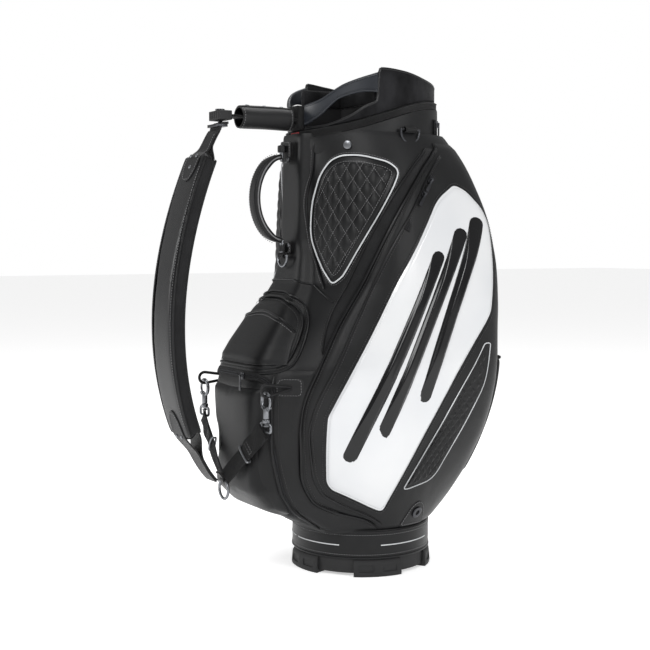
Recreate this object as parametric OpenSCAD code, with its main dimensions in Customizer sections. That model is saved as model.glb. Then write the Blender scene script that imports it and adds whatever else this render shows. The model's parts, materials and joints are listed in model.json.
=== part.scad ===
// Staff bag for golf clubs, standing on its base. +Z up, -Y is the front (handle and strap side).
// Angles round the bag run from the front (0) towards +X (90) to the back (180).
// Heights on the soft body are in percent, from the top of the base (0) to the foot of the cuff (100).

/* [Body] */
// Height of the cuff's highest point
bag_h = 895; // [745:1:1080]
// Width across the two side pockets
pocket_w = 380; // [330:1:450]
// Distance from the axis to the back panel
back_d = 200; // [185:1:240]
// Distance from the axis to the front of the ball pocket
front_d = 265; // [225:1:318]
// Width of the ball pocket
ball_w = 196; // [165:1:235]
// Outer radius of the club tube
tube_r = 120; // [100:1:122]
// Wall of the club tube
tube_wall = 2.5; // [2:0.5:5]
// Radius of the neck below the cuff
neck_r = 140; // [132:1:160]

/* [Base] */
// Outer radius of the base wrap
base_r = 127; // [125:1:140]
// Height of the base wrap's top edge
base_h = 84; // [70:1:100]
// Height of the rubber feet
foot_h = 30; // [24:1:36]
// Number of feet round the rim
foot_count = 5; // [4:1:7]
// Angle that one foot covers
foot_span = 40; // [30:1:46]

/* [Cuff] */
// Outer radius of the cuff wall
cuff_r = 135; // [131:1:145]
// Wall of the cuff
cuff_wall = 6; // [4:0.5:7]
// Height of the ribbed trim ring
trim_h = 15; // [10:1:18]
// Thickness of the padded divider bars
bar_t = 12; // [8:1:16]
// Distance from the middle to each cross bar
bar_y = 42; // [36:1:50]

/* [Handle] */
// Height of the handle's upper anchor above the base wrap, in percent
handle_top_p = 97; // [95:0.5:98]
// Length of the handle between its anchors
handle_len = 175; // [150:1:210]
// How far the handle stands out
handle_reach = 54; // [45:1:65]
// Radius of the padded grip
grip_r = 11; // [9:0.5:12]

/* [Strap] */
// Width of the padded shoulder strap
strap_w = 92; // [76:1:110]
// Thickness of the padded shoulder strap
strap_t = 26; // [20:1:31]
// Distance from the axis to the strap's swivel
swivel_y = 288; // [285:1:300]
// How far the strap bows out from its swivel
strap_bow = 92; // [75:1:110]
// Radius of the swivel stud
stud_r = 4; // [3:0.5:5]

/* [Metalwork] */
// Radius of the wire in the rings
wire_r = 2.2; // [1.8:0.1:2.6]
// Radius of the side rings
side_ring_r = 20; // [17:1:24]
// Radius of the front ring
front_ring_r = 16; // [14:1:19]
// Clearance between pieces that move on each other
run_gap = 0.35; // [0.3:0.05:0.5]

/* [Hidden] */

// Colours
leather_col = [0.04, 0.045, 0.055];
fabric_col = [0.03, 0.03, 0.035];
white_col = [0.86, 0.87, 0.88];
metal_col = [0.55, 0.56, 0.58];
rubber_col = [0.08, 0.08, 0.085];
cuff_col = [0.06, 0.07, 0.11];

// Layers of the soft body, as offsets from its outer surface
fill_off = -3;
skin_off = -1.5;
seam_gap = 0.3;
core_r = tube_r + 1.4;
neck_z = bag_h - 115;
body_h = neck_z - base_h;
function hz(p) = base_h + p * body_h / 100;

// ---- outer surface of the soft body -------------------------------------------------

// Radius of a rounded box w wide and d deep on each side, seen from above
function box_r(a, w, d, n) = pow(pow(abs(sin(a)) / w, n) + pow(abs(cos(a)) / d, n), -1 / n);

// Round core that the pockets grow out of, by height
round_tab = [[0, base_r], [30, base_r + 6], [74, neck_r], [100, neck_r], [104, cuff_r]];

// How square the plan is: none at the base, full at mid height, none at the neck
function fullness(p) = p < 50
    ? 1 - pow(1 - min(max(p / 45, 0), 1), 2)
    : 1 - pow(min(max((p - 52.5) / 51, 0), 1), 2.6);

// Depth and half width of the front column
depth_tab = [
    [0, base_r + 1], [4, base_r + 51], [7, front_d - 33], [11.5, front_d - 3],
    [38, front_d], [42.5, front_d - 9], [48, front_d - 31], [55, front_d - 65],
    [63, 166], [70, 155], [100, neck_r + 10], [103, neck_r + 2], [106, neck_r - 4]
];
half_tab = [[0, ball_w / 2], [38, ball_w / 2], [48, ball_w / 2 - 14], [63, 60], [74, 42]];

// The sides run forward as an ellipse that stays inside the front column
column_step = 18;
blend = 20;

function side_r(a, p) = let (
    plan = cos(a) > 0
        ? box_r(a, pocket_w / 2, max(lookup(p, depth_tab) - column_step, neck_r), 2.1)
        : box_r(a, pocket_w / 2, back_d, 8),
    core = lookup(p, round_tab)
) core + fullness(p) * (plan - core);

function front_r(a, p) = cos(a) > 0.05
    ? box_r(a, lookup(p, half_tab), lookup(p, depth_tab), 8)
    : 1;

function body_r(a, p) = pow(pow(side_r(a, p), blend) + pow(front_r(a, p), blend), 1 / blend);

function spot(a, p, off) = [
    (body_r(a, p) + off) * sin(a),
    -(body_r(a, p) + off) * cos(a),
    hz(p)
];

// ---- outlines on the soft body, as [height in percent, angle] ------------------------

ball_edge = [[0, 30], [3, 27], [12, 22.5], [24, 20.5], [42, 21]];
pocket_front = [
    [0, 72], [3, 60], [5, 41], [9, 31], [16, 28], [26, 29], [32, 31], [42, 38],
    [53, 46], [64, 59], [74, 70], [84, 83], [91, 96], [97, 112]
];
pocket_inner = [
    [1, 76], [4, 63], [7, 46], [10.5, 35], [16, 32], [25, 32.5], [31, 35.5], [43, 46],
    [53.5, 54.5], [69, 70.5], [83.5, 90], [91, 103], [96, 116]
];
white_front = [
    [5.6, 70], [6.6, 64], [11.6, 40], [13.5, 38], [30.5, 42], [32, 43.5], [44, 55.5],
    [64, 77], [84, 104], [87.6, 117]
];
white_rear = [[5.6, 73], [52.5, 127], [55.5, 130], [80.5, 135], [86.5, 125], [87.6, 120]];
quilt_front = [[63.5, 39], [68, 29], [74, 21], [77, 20], [83, 21], [90, 28], [93.5, 36], [94.7, 44]];
quilt_rear = [[63.5, 41], [65, 46], [73, 57], [81, 68], [88, 77], [91, 80], [93, 74], [94.7, 57]];
low_front = [[11, 86], [27, 106], [42, 122], [47.5, 127]];
low_rear = [[11, 90], [12.8, 109], [25.5, 120], [37, 128], [47.5, 130]];
mesh_front = [[13, 139], [44, 139]];
mesh_rear = [[13, 158], [44, 158]];
arch_edge = [[42.5, 23], [48, 26], [55, 26], [58, 19], [59.5, 9]];

// Heights round the cuff, as [angle from the front, height above the cuff's foot]
trim_tab = [[0, 4], [16, 5], [38, 10], [57, 19], [75, 32], [97, 48], [115, 56], [140, 60], [180, 62]];
wall_top_tab = [
    [0, 15], [27, 18], [47, 31], [61, 50], [70.5, 62], [71, 115], [92, 111],
    [117, 101], [150, 94], [180, 92]
];
grab_low_tab = [[8, 20], [16, 26], [25, 36], [42, 64], [62, 74], [71, 73]];
grab_high_tab = [[8, 56], [23, 63], [45, 89], [71, 109]];

function round_angle(a) = abs(a) > 180 ? 360 - abs(a) : abs(a);
function level(tab, a, extra) = neck_z + lookup(round_angle(a), tab) + extra;

// ---- shared shapes -------------------------------------------------------------------

// Faces of a closed slab: an inner and an outer grid of (rows + 1) x (cols + 1) points
function slab_faces(rows, cols) = let (
    n = (rows + 1) * (cols + 1),
    at = function(i, j, s) s * n + i * (cols + 1) + j
) concat(
    [for (i = [0:rows - 1], j = [0:cols - 1], k = [0, 1])
        k == 0 ? [at(i, j, 1), at(i + 1, j, 1), at(i + 1, j + 1, 1)]
               : [at(i, j, 1), at(i + 1, j + 1, 1), at(i, j + 1, 1)]],
    [for (i = [0:rows - 1], j = [0:cols - 1], k = [0, 1])
        k == 0 ? [at(i, j, 0), at(i + 1, j + 1, 0), at(i + 1, j, 0)]
               : [at(i, j, 0), at(i, j + 1, 0), at(i + 1, j + 1, 0)]],
    [for (i = [0:rows - 1], k = [0, 1])
        k == 0 ? [at(i, 0, 0), at(i + 1, 0, 0), at(i + 1, 0, 1)]
               : [at(i, 0, 0), at(i + 1, 0, 1), at(i, 0, 1)]],
    [for (i = [0:rows - 1], k = [0, 1])
        k == 0 ? [at(i, cols, 0), at(i + 1, cols, 1), at(i + 1, cols, 0)]
               : [at(i, cols, 0), at(i, cols, 1), at(i + 1, cols, 1)]],
    [for (j = [0:cols - 1], k = [0, 1])
        k == 0 ? [at(0, j, 0), at(0, j, 1), at(0, j + 1, 1)]
               : [at(0, j, 0), at(0, j + 1, 1), at(0, j + 1, 0)]],
    [for (j = [0:cols - 1], k = [0, 1])
        k == 0 ? [at(rows, j, 0), at(rows, j + 1, 1), at(rows, j, 1)]
               : [at(rows, j, 0), at(rows, j + 1, 0), at(rows, j + 1, 1)]]
);

// A piece of the soft body between two outlines; a large inner or outer is a radius, a small one an offset
module patch(first, last, p0, p1, inner, outer, rows, cols, inset = 0) {
    steps = [for (i = [0:rows]) p0 + (p1 - p0) * i / rows];
    grid = function(off) [for (p = steps, j = [0:cols])
        let (
            a0 = lookup(p, first) + inset,
            a1 = lookup(p, last) - inset,
            a = a0 + (a1 - a0) * j / cols
        ) off > 50 ? [off * sin(a), -off * cos(a), hz(p)] : spot(a, p, off)];
    polyhedron(concat(grid(inner), grid(outer)), slab_faces(rows, cols), convexity = 6);
}

// Faces of a tube of rings, each with n points, closed at both ends
function tube_faces(rings, n) = concat(
    [for (i = [0:rings - 2], j = [0:n - 1], k = [0, 1])
        k == 0 ? [i * n + j, (i + 1) * n + j, (i + 1) * n + (j + 1) % n]
               : [i * n + j, (i + 1) * n + (j + 1) % n, i * n + (j + 1) % n]],
    [[for (j = [0:n - 1]) j]],
    [[for (j = [n - 1:-1:0]) (rings - 1) * n + j]]
);

function unit(v) = v / norm(v);

// A bead of cord on the soft body, following an outline of [height, angle]
module bead(outline, p0, p1, r, off, count) {
    mid = function(i) let (p = p0 + (p1 - p0) * i / count) spot(lookup(p, outline), p, off);
    rings = [for (i = [0:count])
        let (
            here = mid(i),
            way = unit(mid(min(i + 1, count)) - mid(max(i - 1, 0))),
            out = unit([here[0], here[1], 0]),
            side = unit(cross(way, out)),
            up = cross(way, side)
        ) for (k = [0:5]) here + r * (cos(60 * k) * side + sin(60 * k) * up)];
    polyhedron(rings, tube_faces(count + 1, 6), convexity = 6);
}

// A strip swept in the plane x = 0 along points [y, z], w wide and t thick
module strip(path, w, t) {
    last = len(path) - 1;
    rings = [for (i = [0:last])
        let (
            way = unit(path[min(i + 1, last)] - path[max(i - 1, 0)]),
            out = [way[1], -way[0]],
            a = path[i] + out * t / 2,
            b = path[i] - out * t / 2
        ) each [[-w / 2, b[0], b[1]], [w / 2, b[0], b[1]], [w / 2, a[0], a[1]], [-w / 2, a[0], a[1]]]];
    polyhedron(rings, tube_faces(last + 1, 4), convexity = 6);
}

// Part of the cuff: an arc whose lower and upper edges follow height tables
module cuff_arc(a0, a1, low, low_off, high, high_off, inner, outer, cols) {
    closed = a1 - a0 == 360;
    count = closed ? cols : cols + 1;
    angles = [for (i = [0:count - 1]) a0 + (a1 - a0) * i / cols];
    pts = [for (a = angles) each [
        [inner * sin(a), -inner * cos(a), level(low, a, low_off)],
        [inner * sin(a), -inner * cos(a), level(high, a, high_off)],
        [outer * sin(a), -outer * cos(a), level(high, a, high_off)],
        [outer * sin(a), -outer * cos(a), level(low, a, low_off)]
    ]];
    body = [for (i = [0:cols - 1], j = [0:3], k = [0, 1])
        let (a = i * 4, b = ((i + 1) % count) * 4, n = (j + 1) % 4)
        k == 0 ? [a + j, b + j, b + n] : [a + j, b + n, a + n]];
    ends = closed ? [] : [[0, 1, 2, 3], [for (j = [3:-1:0]) cols * 4 + j]];
    polyhedron(pts, concat(body, ends), convexity = 8);
}

// Places children on the body: local +X points out, +Z up along the wall, +Y onwards round it
module on_body(a, z, r, lean = 0, roll = 0)
    rotate([0, 0, a - 90]) translate([r, 0, z]) rotate([0, lean, 0]) rotate([roll, 0, 0]) children();

module both_sides() {
    children();
    mirror([1, 0, 0]) children();
}

module left_or_right(side) {
    if (side > 0) children();
    if (side < 0) mirror([1, 0, 0]) children();
}

// ---- base ----------------------------------------------------------------------------

base_floor_z = 6;
base_plate = 5;
fit_gap = 0.3;
cup_r = base_r - 3.3;

module base_cup() color(rubber_col)
    rotate_extrude($fn = 96) polygon([
        [0, base_floor_z], [cup_r, base_floor_z], [cup_r, base_h],
        [tube_r + fit_gap, base_h], [tube_r + fit_gap, base_floor_z + base_plate],
        [0, base_floor_z + base_plate]
    ]);

foot_flare = 5;
foot_reach = 26;
pocket_deep = 3;

module foot() {
    outer = cup_r + foot_flare;
    difference() {
        rotate([0, 0, -90 - foot_span / 2]) rotate_extrude(angle = foot_span, $fn = 96) polygon([
            [cup_r - foot_reach, 0], [outer + 1, 0], [outer + 2, 4], [outer, foot_h - 5],
            [cup_r + 1.5, foot_h], [cup_r + fit_gap, foot_h], [cup_r + fit_gap, base_floor_z - fit_gap],
            [cup_r - foot_reach, base_floor_z - fit_gap]
        ]);
        for (turn = [-foot_span / 4, foot_span / 4])
            rotate([0, 0, turn]) translate([0, -outer - 2, foot_h / 2]) cube([26, 2 * pocket_deep, 12], center = true);
    }
}

module base_feet() color(rubber_col) {
    for (i = [0:foot_count - 1]) rotate([0, 0, i * 360 / foot_count]) foot();
    cylinder(h = base_floor_z - fit_gap, r = 24, $fn = 48);
}

module base_band() color(leather_col)
    rotate_extrude($fn = 96) polygon([
        [cup_r + fit_gap, foot_h + 0.5], [base_r - 0.4, foot_h + 0.5], [base_r, foot_h + 3],
        [base_r, base_h - 3], [base_r - 0.4, base_h], [cup_r + fit_gap, base_h]
    ]);

// ---- tube, stays and dividers -----------------------------------------------------------

tube_foot_z = base_floor_z + base_plate + fit_gap;
tube_in = tube_r - tube_wall;
tube_top_z = neck_z + 3;

module liner_tube() color(fabric_col)
    difference() {
        translate([0, 0, tube_foot_z]) cylinder(h = tube_top_z - tube_foot_z, r = tube_r, $fn = 96);
        translate([0, 0, tube_foot_z - 1]) cylinder(h = tube_top_z - tube_foot_z + 2, r = tube_in, $fn = 96);
    }

stay_r = 2.5;
stay_in = tube_in - stay_r - 0.4;
stay_angles = [60, 150, 210, 300];

module stay_rods() color(metal_col)
    for (a = stay_angles)
        on_body(a, tube_foot_z + 4, stay_in) cylinder(h = neck_z - tube_foot_z - 14, r = stay_r, $fn = 24);

bar_h = 30;
bar_z = neck_z + 56;
bar_reach = cuff_r - cuff_wall - 1.5;
panel_t = 2;

module well_grid(t, reach, z0, z1) {
    cross_half = sqrt(reach * reach - pow(bar_y + t / 2, 2));
    translate([-t / 2, -reach + 1, z0]) cube([t, 2 * reach - 2, z1 - z0]);
    for (y = [-bar_y, bar_y])
        translate([-cross_half, y - t / 2, z0]) cube([2 * cross_half, t, z1 - z0]);
}

module divider_bars() color(cuff_col) well_grid(bar_t, bar_reach, bar_z, bar_z + bar_h);

module well_dividers() color(fabric_col)
    well_grid(panel_t, tube_in - 1, tube_foot_z + 3, bar_z - 0.5);

// ---- soft body ---------------------------------------------------------------------------

function flat_line(a) = [[0, a], [100, a]];
function opposite(tab) = [for (row = tab) [row[0], -row[1]]];
rear_seam = 150;
pocket_top_p = 96;
first_p = 0.4;

module ball_pocket() color(leather_col)
    patch(opposite(ball_edge), ball_edge, first_p, 42, core_r, fill_off, 26, 16);

function shifted(tab, by) = [for (row = tab) [row[0], row[1] + by]];

module front_gussets() color(fabric_col) both_sides()
    patch(ball_edge, shifted(pocket_front, -3), first_p, 42, core_r, fill_off, 26, 6, seam_gap);

arch_top_p = 59.5;

module valuables_pocket() color(leather_col)
    patch(opposite(arch_edge), arch_edge, 42.5, arch_top_p, core_r, fill_off, 12, 12);

neck_edge = shifted(pocket_front, -1);

module neck_sheath(side) color(leather_col) left_or_right(side) {
    patch(arch_edge, neck_edge, 42.5, arch_top_p, core_r, fill_off, 12, 5, seam_gap);
    patch(flat_line(0), neck_edge, arch_top_p + 0.2, pocket_top_p, core_r, fill_off, 14, 13, seam_gap);
}

module neck_sheath_left() neck_sheath(-1);
module neck_sheath_right() neck_sheath(1);

module side_pocket(side) color(leather_col) left_or_right(side)
    patch(pocket_front, flat_line(rear_seam), first_p, pocket_top_p, core_r, fill_off, 28, 18, seam_gap);

module side_pocket_left() side_pocket(-1);
module side_pocket_right() side_pocket(1);

module back_panel() color(leather_col)
    patch(flat_line(rear_seam), flat_line(360 - rear_seam), first_p, pocket_top_p, core_r, fill_off, 24, 12, seam_gap);

yoke_z = hz(pocket_top_p) + 0.5;

module yoke() color(leather_col)
    cuff_arc(0, 360, [[0, 0]], yoke_z - neck_z, trim_tab, -trim_h / 2 - 0.5, core_r, neck_r - 3, 60);

spine_half = 15;
spine_top_p = 95;
spine_low_p = 73;

module spine_panel() color(leather_col)
    patch(flat_line(-spine_half), flat_line(spine_half), spine_low_p, spine_top_p, -0.5, 1, 10, 6);

module white_panels() color(white_col) both_sides()
    patch(white_front, white_rear, 5.8, 87.5, skin_off, -0.1, 22, 8, 1);

module quilt_panels() color(leather_col) both_sides()
    patch(quilt_front, quilt_rear, 63.8, 94.5, skin_off, -0.1, 16, 8, 0.5);

module lower_quilts() color(leather_col) both_sides()
    patch(low_front, low_rear, 11.5, 47, skin_off, -0.1, 14, 4, 0.6);

module mesh_pockets() color(fabric_col) both_sides()
    patch(mesh_front, mesh_rear, 13, 44, skin_off, -0.1, 8, 5);

bead_r = 1.8;
bead_off = 2.8;

module pocket_piping() color(leather_col) both_sides() {
    bead(pocket_front, 1, 95, bead_r, bead_off, 36);
    bead(pocket_inner, 1.5, 74, bead_r, bead_off, 30);
}

// ---- zips --------------------------------------------------------------------------------

// Each side zip has a straight stretch, given by its two ends on the body
zip_high = [90, 103];
zip_low = [78, 84];
tape_t = 1.6;
tape_off = 1.4;
zip_a = spot(zip_high[1], zip_high[0], tape_off);
zip_b = spot(zip_low[1], zip_low[0], tape_off);
zip_len = norm(zip_b - zip_a);
zip_way = (zip_b - zip_a) / zip_len;
zip_mid_a = (zip_high[1] + zip_low[1]) / 2;
zip_out = unit(cross(cross(zip_way, [sin(zip_mid_a), -cos(zip_mid_a), 0]), zip_way));
zip_side = cross(zip_out, zip_way);

// Places children on the side zip: local +X points out and -Z runs down the zip
module on_zip(distance) {
    at = zip_a + zip_way * distance;
    m = [
        [zip_out[0], -zip_side[0], -zip_way[0], at[0]],
        [zip_out[1], -zip_side[1], -zip_way[1], at[1]],
        [zip_out[2], -zip_side[2], -zip_way[2], at[2]],
        [0, 0, 0, 1]
    ];
    multmatrix(m) children();
}

rear_zip_a = 128;
ball_zip_z = hz(40.5);
ball_zip_y = body_r(0, 39.5) - 0.5;

module tape(length) translate([-tape_t / 2, -7, -length]) cube([tape_t, 14, length]);

module zip_tapes() color(fabric_col) {
    both_sides() on_zip(-8) tape(zip_len + 16);
    translate([-75, -ball_zip_y - 1, ball_zip_z - 6]) cube([150, tape_t, 12]);
    both_sides() on_body(rear_zip_a, neck_z + 34, cuff_r + 6.2) tape(44);
}

slider_t = 3;
slider_h = 12;
lug_x = tape_t / 2 + run_gap;
pin_x = lug_x + slider_t + 2.4;
pin_r = 1;
pull_t = 1.6;

// A zip slider on its tape: local +X out, its top at z = 0
module slider() {
    translate([lug_x, -4.5, -slider_h]) cube([slider_t, 9, slider_h]);
    for (y = [-3.6, 2])
        translate([lug_x + slider_t - 0.5, y, -7]) cube([3.4, 1.6, 4]);
    translate([pin_x, 0, -5]) rotate([90, 0, 0]) cylinder(h = 7, r = pin_r, center = true, $fn = 24);
}

// The tab that hangs from a slider's pin
module pull(length) translate([pin_x, 0, -5]) difference() {
    union() {
        rotate([90, 0, 0]) cylinder(h = 3.2, r = pin_r + run_gap + 1, center = true, $fn = 24);
        translate([0.2, -1.6, -length + 4]) cube([pull_t, 3.2, length - 5.5]);
        translate([0.2, -3, -length]) cube([pull_t, 6, length - 12]);
    }
    rotate([90, 0, 0]) cylinder(h = 8, r = pin_r + run_gap, center = true, $fn = 24);
}

high_at = 4;
low_at = 34;
pull_len = 26;

module side_slider_low_left() color(metal_col) left_or_right(-1) on_zip(low_at) slider();
module side_slider_low_right() color(metal_col) on_zip(low_at) slider();
module side_slider_high_left() color(metal_col) left_or_right(-1) on_zip(high_at) slider();
module side_slider_high_right() color(metal_col) on_zip(high_at) slider();
module side_pull_low_left() color(metal_col) left_or_right(-1) on_zip(low_at) pull(pull_len);
module side_pull_low_right() color(metal_col) on_zip(low_at) pull(pull_len);
module side_pull_high_left() color(metal_col) left_or_right(-1) on_zip(high_at) pull(pull_len);
module side_pull_high_right() color(metal_col) on_zip(high_at) pull(pull_len);

module rear_slider() on_body(rear_zip_a, neck_z + 32, cuff_r + 6.2) {
    slider();
    translate([pin_x - 1.2, -1.7, -pull_len]) cube([2.4, 3.4, pull_len - 3.6]);
    translate([pin_x - pull_t / 2, -3, -pull_len]) cube([pull_t, 6, pull_len - 9]);
}
module rear_slider_left() color(metal_col) left_or_right(-1) rear_slider();
module rear_slider_right() color(metal_col) rear_slider();

ball_slider_x = 38;
module on_ball_zip() translate([ball_slider_x, -ball_zip_y - 1 + tape_t / 2, ball_zip_z + 5])
    rotate([0, 0, -90]) children();
module ball_slider() color(metal_col) on_ball_zip() slider();
module ball_pull() color(metal_col) on_ball_zip() pull(pull_len);

// ---- eyelets, studs and rings --------------------------------------------------------------

eyelet_a = 103;
eyelet_p = 4;
eyelet_lean = 24;
eyelet_r = body_r(eyelet_a, eyelet_p) + 1;

module umbrella_eyelets() color(metal_col) both_sides()
    on_body(eyelet_a, hz(eyelet_p), eyelet_r, eyelet_lean) rotate([0, 90, 0]) difference() {
        cylinder(h = 3, r = 11, $fn = 48);
        translate([0, 0, -1]) cylinder(h = 5, r = 5, $fn = 48);
    }

ring_a = 93;
side_pin_z = neck_z + 10;
side_pin_r = neck_r + 6;
front_pin_y = 166;
front_pin_z = hz(70);
tab_half = 12;

// A ring with a straight bar along Y at its top, hanging down -Z
module d_ring(r, wire) {
    rotate([90, 0, 0]) cylinder(h = 2 * r, r = wire, center = true, $fn = 32);
    translate([0, 0, -wire * 1.5]) rotate([0, 90, 0]) rotate([0, 0, -90])
        rotate_extrude(angle = 180, $fn = 64) translate([r, 0]) circle(wire, $fn = 32);
    for (y = [-r, r]) translate([0, y, -wire * 1.5]) cylinder(h = wire * 1.5, r = wire, $fn = 32);
    for (y = [-r, r]) translate([0, y, 0]) sphere(wire, $fn = 32);
}

// The folded webbing loop that holds a ring's bar
module ring_tab(half, back) difference() {
    union() {
        rotate([90, 0, 0]) cylinder(h = 2 * half, r = wire_r + 2, center = true, $fn = 32);
        translate([-back, -half, -1.5]) cube([back - wire_r, 2 * half, 3]);
    }
    rotate([90, 0, 0]) cylinder(h = 2 * half + 2, r = wire_r + run_gap, center = true, $fn = 32);
}

module at_side_ring() on_body(ring_a, side_pin_z, side_pin_r) children();
module at_front_ring() translate([0, -front_pin_y, front_pin_z]) rotate([0, 0, -90]) children();

module ring_tabs() color(leather_col) {
    both_sides() at_side_ring() ring_tab(tab_half, 8);
    at_front_ring() ring_tab(tab_half - 3, 9);
}
module side_ring_left() color(metal_col) left_or_right(-1) at_side_ring() d_ring(side_ring_r, wire_r);
module side_ring_right() color(metal_col) at_side_ring() d_ring(side_ring_r, wire_r);
module front_ring() color(metal_col) at_front_ring() d_ring(front_ring_r, wire_r);

// ---- cuff ----------------------------------------------------------------------------------

cuff_in = cuff_r - cuff_wall;

module collar_wall() color(cuff_col)
    cuff_arc(8, 352, trim_tab, trim_h / 2 + 0.3, wall_top_tab, 0, cuff_in, cuff_r - 0.5, 172);

module trim_ring() color(rubber_col)
    cuff_arc(0, 360, trim_tab, -trim_h / 2, trim_tab, trim_h / 2, cuff_in, cuff_r + 3, 72);

module grab_strips() color(cuff_col) both_sides()
    cuff_arc(8.5, 70, grab_low_tab, 0, grab_high_tab, 0, cuff_in, cuff_r, 24);

post_half = 16;
post_y = cuff_r + 8;
web_z = neck_z + 31;

module strap_post() color(cuff_col) difference() {
    translate([-post_half, -post_y, neck_z + 13]) cube([2 * post_half, post_y - cuff_in, 43]);
    translate([-post_half - 1, -post_y - 1, neck_z + 12]) cube([2 * post_half + 2, 4, 4]);
}

// ---- handle --------------------------------------------------------------------------------

handle_y = neck_r + 27;
handle_top_z = hz(handle_top_p);
handle_low_z = handle_top_z - handle_len;
loop_h = 12;
core_wire = 4;
plate_t = 3;
plate_y = neck_r + 17.2;

// The leather plate and loop that one end of the handle turns in
module handle_anchor(z, plate_h, plate_drop) translate([0, 0, z]) difference() {
    union() {
        translate([0, -handle_y, 0]) cylinder(h = loop_h, r = core_wire + run_gap + 3, center = true, $fn = 32);
        translate([-18, -plate_y - plate_t, -plate_drop]) cube([36, plate_t, plate_h]);
    }
    translate([0, -handle_y, 0]) cylinder(h = loop_h + 2, r = core_wire + run_gap, center = true, $fn = 32);
}

module handle_anchors() color(leather_col) {
    handle_anchor(handle_top_z, 40, 26);
    handle_anchor(handle_low_z, 22, 10);
}

rivet_r = 3.5;
module rivet_row(z) for (x = [-12, 12]) translate([x, -plate_y - plate_t, z]) rotate([90, 0, 0]) {
    cylinder(h = 1.6, r = rivet_r, $fn = 24);
}
stud_a = 48;

module rivets() color(metal_col) {
    rivet_row(handle_top_z - 18);
    rivet_row(handle_low_z + 5);
    both_sides() on_body(stud_a, neck_z - 18, neck_r + 1) rotate([0, 90, 0]) {
        cylinder(h = 4, r = 4, $fn = 32);
        translate([0, 0, 3.5]) cylinder(h = 5, r = 7, $fn = 32);
    }
}

// Half an ellipse between the two loops, seen from the side
module carry_handle() color(leather_col) {
    half = handle_len / 2 - loop_h / 2 - 8;
    mid_z = (handle_top_z + handle_low_z) / 2;
    last = 20;
    mid = function(i) let (t = -90 + 180 * i / last)
        [0, -handle_y - handle_reach * cos(t), mid_z + half * sin(t)];
    rings = [for (i = [0:last])
        let (
            way = unit(mid(min(i + 1, last)) - mid(max(i - 1, 0))),
            out = cross(way, [1, 0, 0]),
            grip = i < 3 || i > last - 3 ? grip_r * 0.6 : grip_r
        ) for (k = [0:9]) mid(i) + grip * (cos(36 * k) * [1.15, 0, 0] + 0.75 * sin(36 * k) * out)];
    polyhedron(rings, tube_faces(last + 1, 10), convexity = 6);
    for (z = [handle_low_z - loop_h / 2 - 2, mid_z + half - 1])
        translate([0, -handle_y, z]) cylinder(h = loop_h + 11, r = core_wire, $fn = 32);
}

// ---- snap hooks and their webbing ------------------------------------------------------------

hook_x = 118;
hook_y = front_d - 1;
hook_z = 300;
hook_r = 14;
hook_wire = 3;
hook_mid_z = hook_z + 29;
gate_a0 = -38;
gate_a1 = 32;
loop_r = 10;
loop_wire = 2.5;
loop_mid_z = hook_mid_z + hook_r - hook_wire - loop_wire - 0.5 + loop_r;
ring_z = 163;
ring_y = front_d + 20;
strap_ring_r = 17;

module arc_wire(r, wire, a0, a1)
    rotate([90, 0, 0]) rotate([0, 0, a0]) rotate_extrude(angle = a1 - a0, $fn = 64)
        translate([r, 0]) circle(wire, $fn = 32);

gate_wire = 2;
gate_pin_r = 0.8;
gate_eye = gate_wire + 0.4;
gate_pin = [hook_r * cos(gate_a0 - 8), 0, hook_r * sin(gate_a0 - 8)];
gate_end_a = gate_a1 - 2;
nose_a = gate_a1 + 20;
lip_a = gate_a1 + 6;
lip_wire = 1.4;

module snap_hook() translate([hook_x, -hook_y, 0]) {
    translate([0, 0, hook_mid_z]) {
        // The nose ends in a thin outer lip, so the gate swings in under it
        arc_wire(hook_r, hook_wire, nose_a, 360 + gate_a0 - 20);
        arc_wire(hook_r + hook_wire - lip_wire - 0.1, lip_wire, lip_a, nose_a + 3);
        for (y = [-gate_eye - 1.4, gate_eye + 0.4]) hull() {
            translate(gate_pin + [0, y, 0]) rotate([-90, 0, 0]) cylinder(h = 1, r = 2, $fn = 24);
            translate([hook_r * cos(gate_a0 - 24), y, hook_r * sin(gate_a0 - 24)])
                rotate([-90, 0, 0]) cylinder(h = 1, r = 2, $fn = 24);
        }
        translate(gate_pin) rotate([90, 0, 0]) cylinder(h = 2 * gate_eye + 2, r = gate_pin_r, center = true, $fn = 24);
    }
    translate([0, 0, hook_z]) cylinder(h = hook_mid_z - hook_r - hook_z + 2, r = 5, $fn = 32);
    translate([0, 0, hook_z - 12.5]) cylinder(h = 13, r = 2.5, $fn = 32);
    translate([0, 0, hook_z - 13]) cylinder(h = 1.5, r = 4.5, $fn = 32);
}
module snap_hook_left() color(metal_col) left_or_right(-1) snap_hook();
module snap_hook_right() color(metal_col) snap_hook();

module hook_gate() translate([hook_x, -hook_y, hook_mid_z]) difference() {
    union() {
        arc_wire(hook_r, gate_wire, gate_a0 - 7, gate_end_a);
        translate(gate_pin) rotate([90, 0, 0]) cylinder(h = 2 * gate_eye, r = gate_eye, center = true, $fn = 24);
    }
    translate(gate_pin) rotate([90, 0, 0]) cylinder(h = 20, r = gate_pin_r + 0.25, center = true, $fn = 24);
}
module hook_gate_left() color(metal_col) left_or_right(-1) hook_gate();
module hook_gate_right() color(metal_col) hook_gate();

loop_a = 27;
loop_mid = [hook_x, -hook_y];
loop_seat = 2.5;
loop_root = spot(loop_a, (loop_mid_z - base_h) * 100 / body_h, loop_seat);
loop_gap = norm([loop_root[0], loop_root[1]] - loop_mid);
loop_turn = -atan2(loop_root[0] - loop_mid[0], loop_root[1] - loop_mid[1]);

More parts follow.
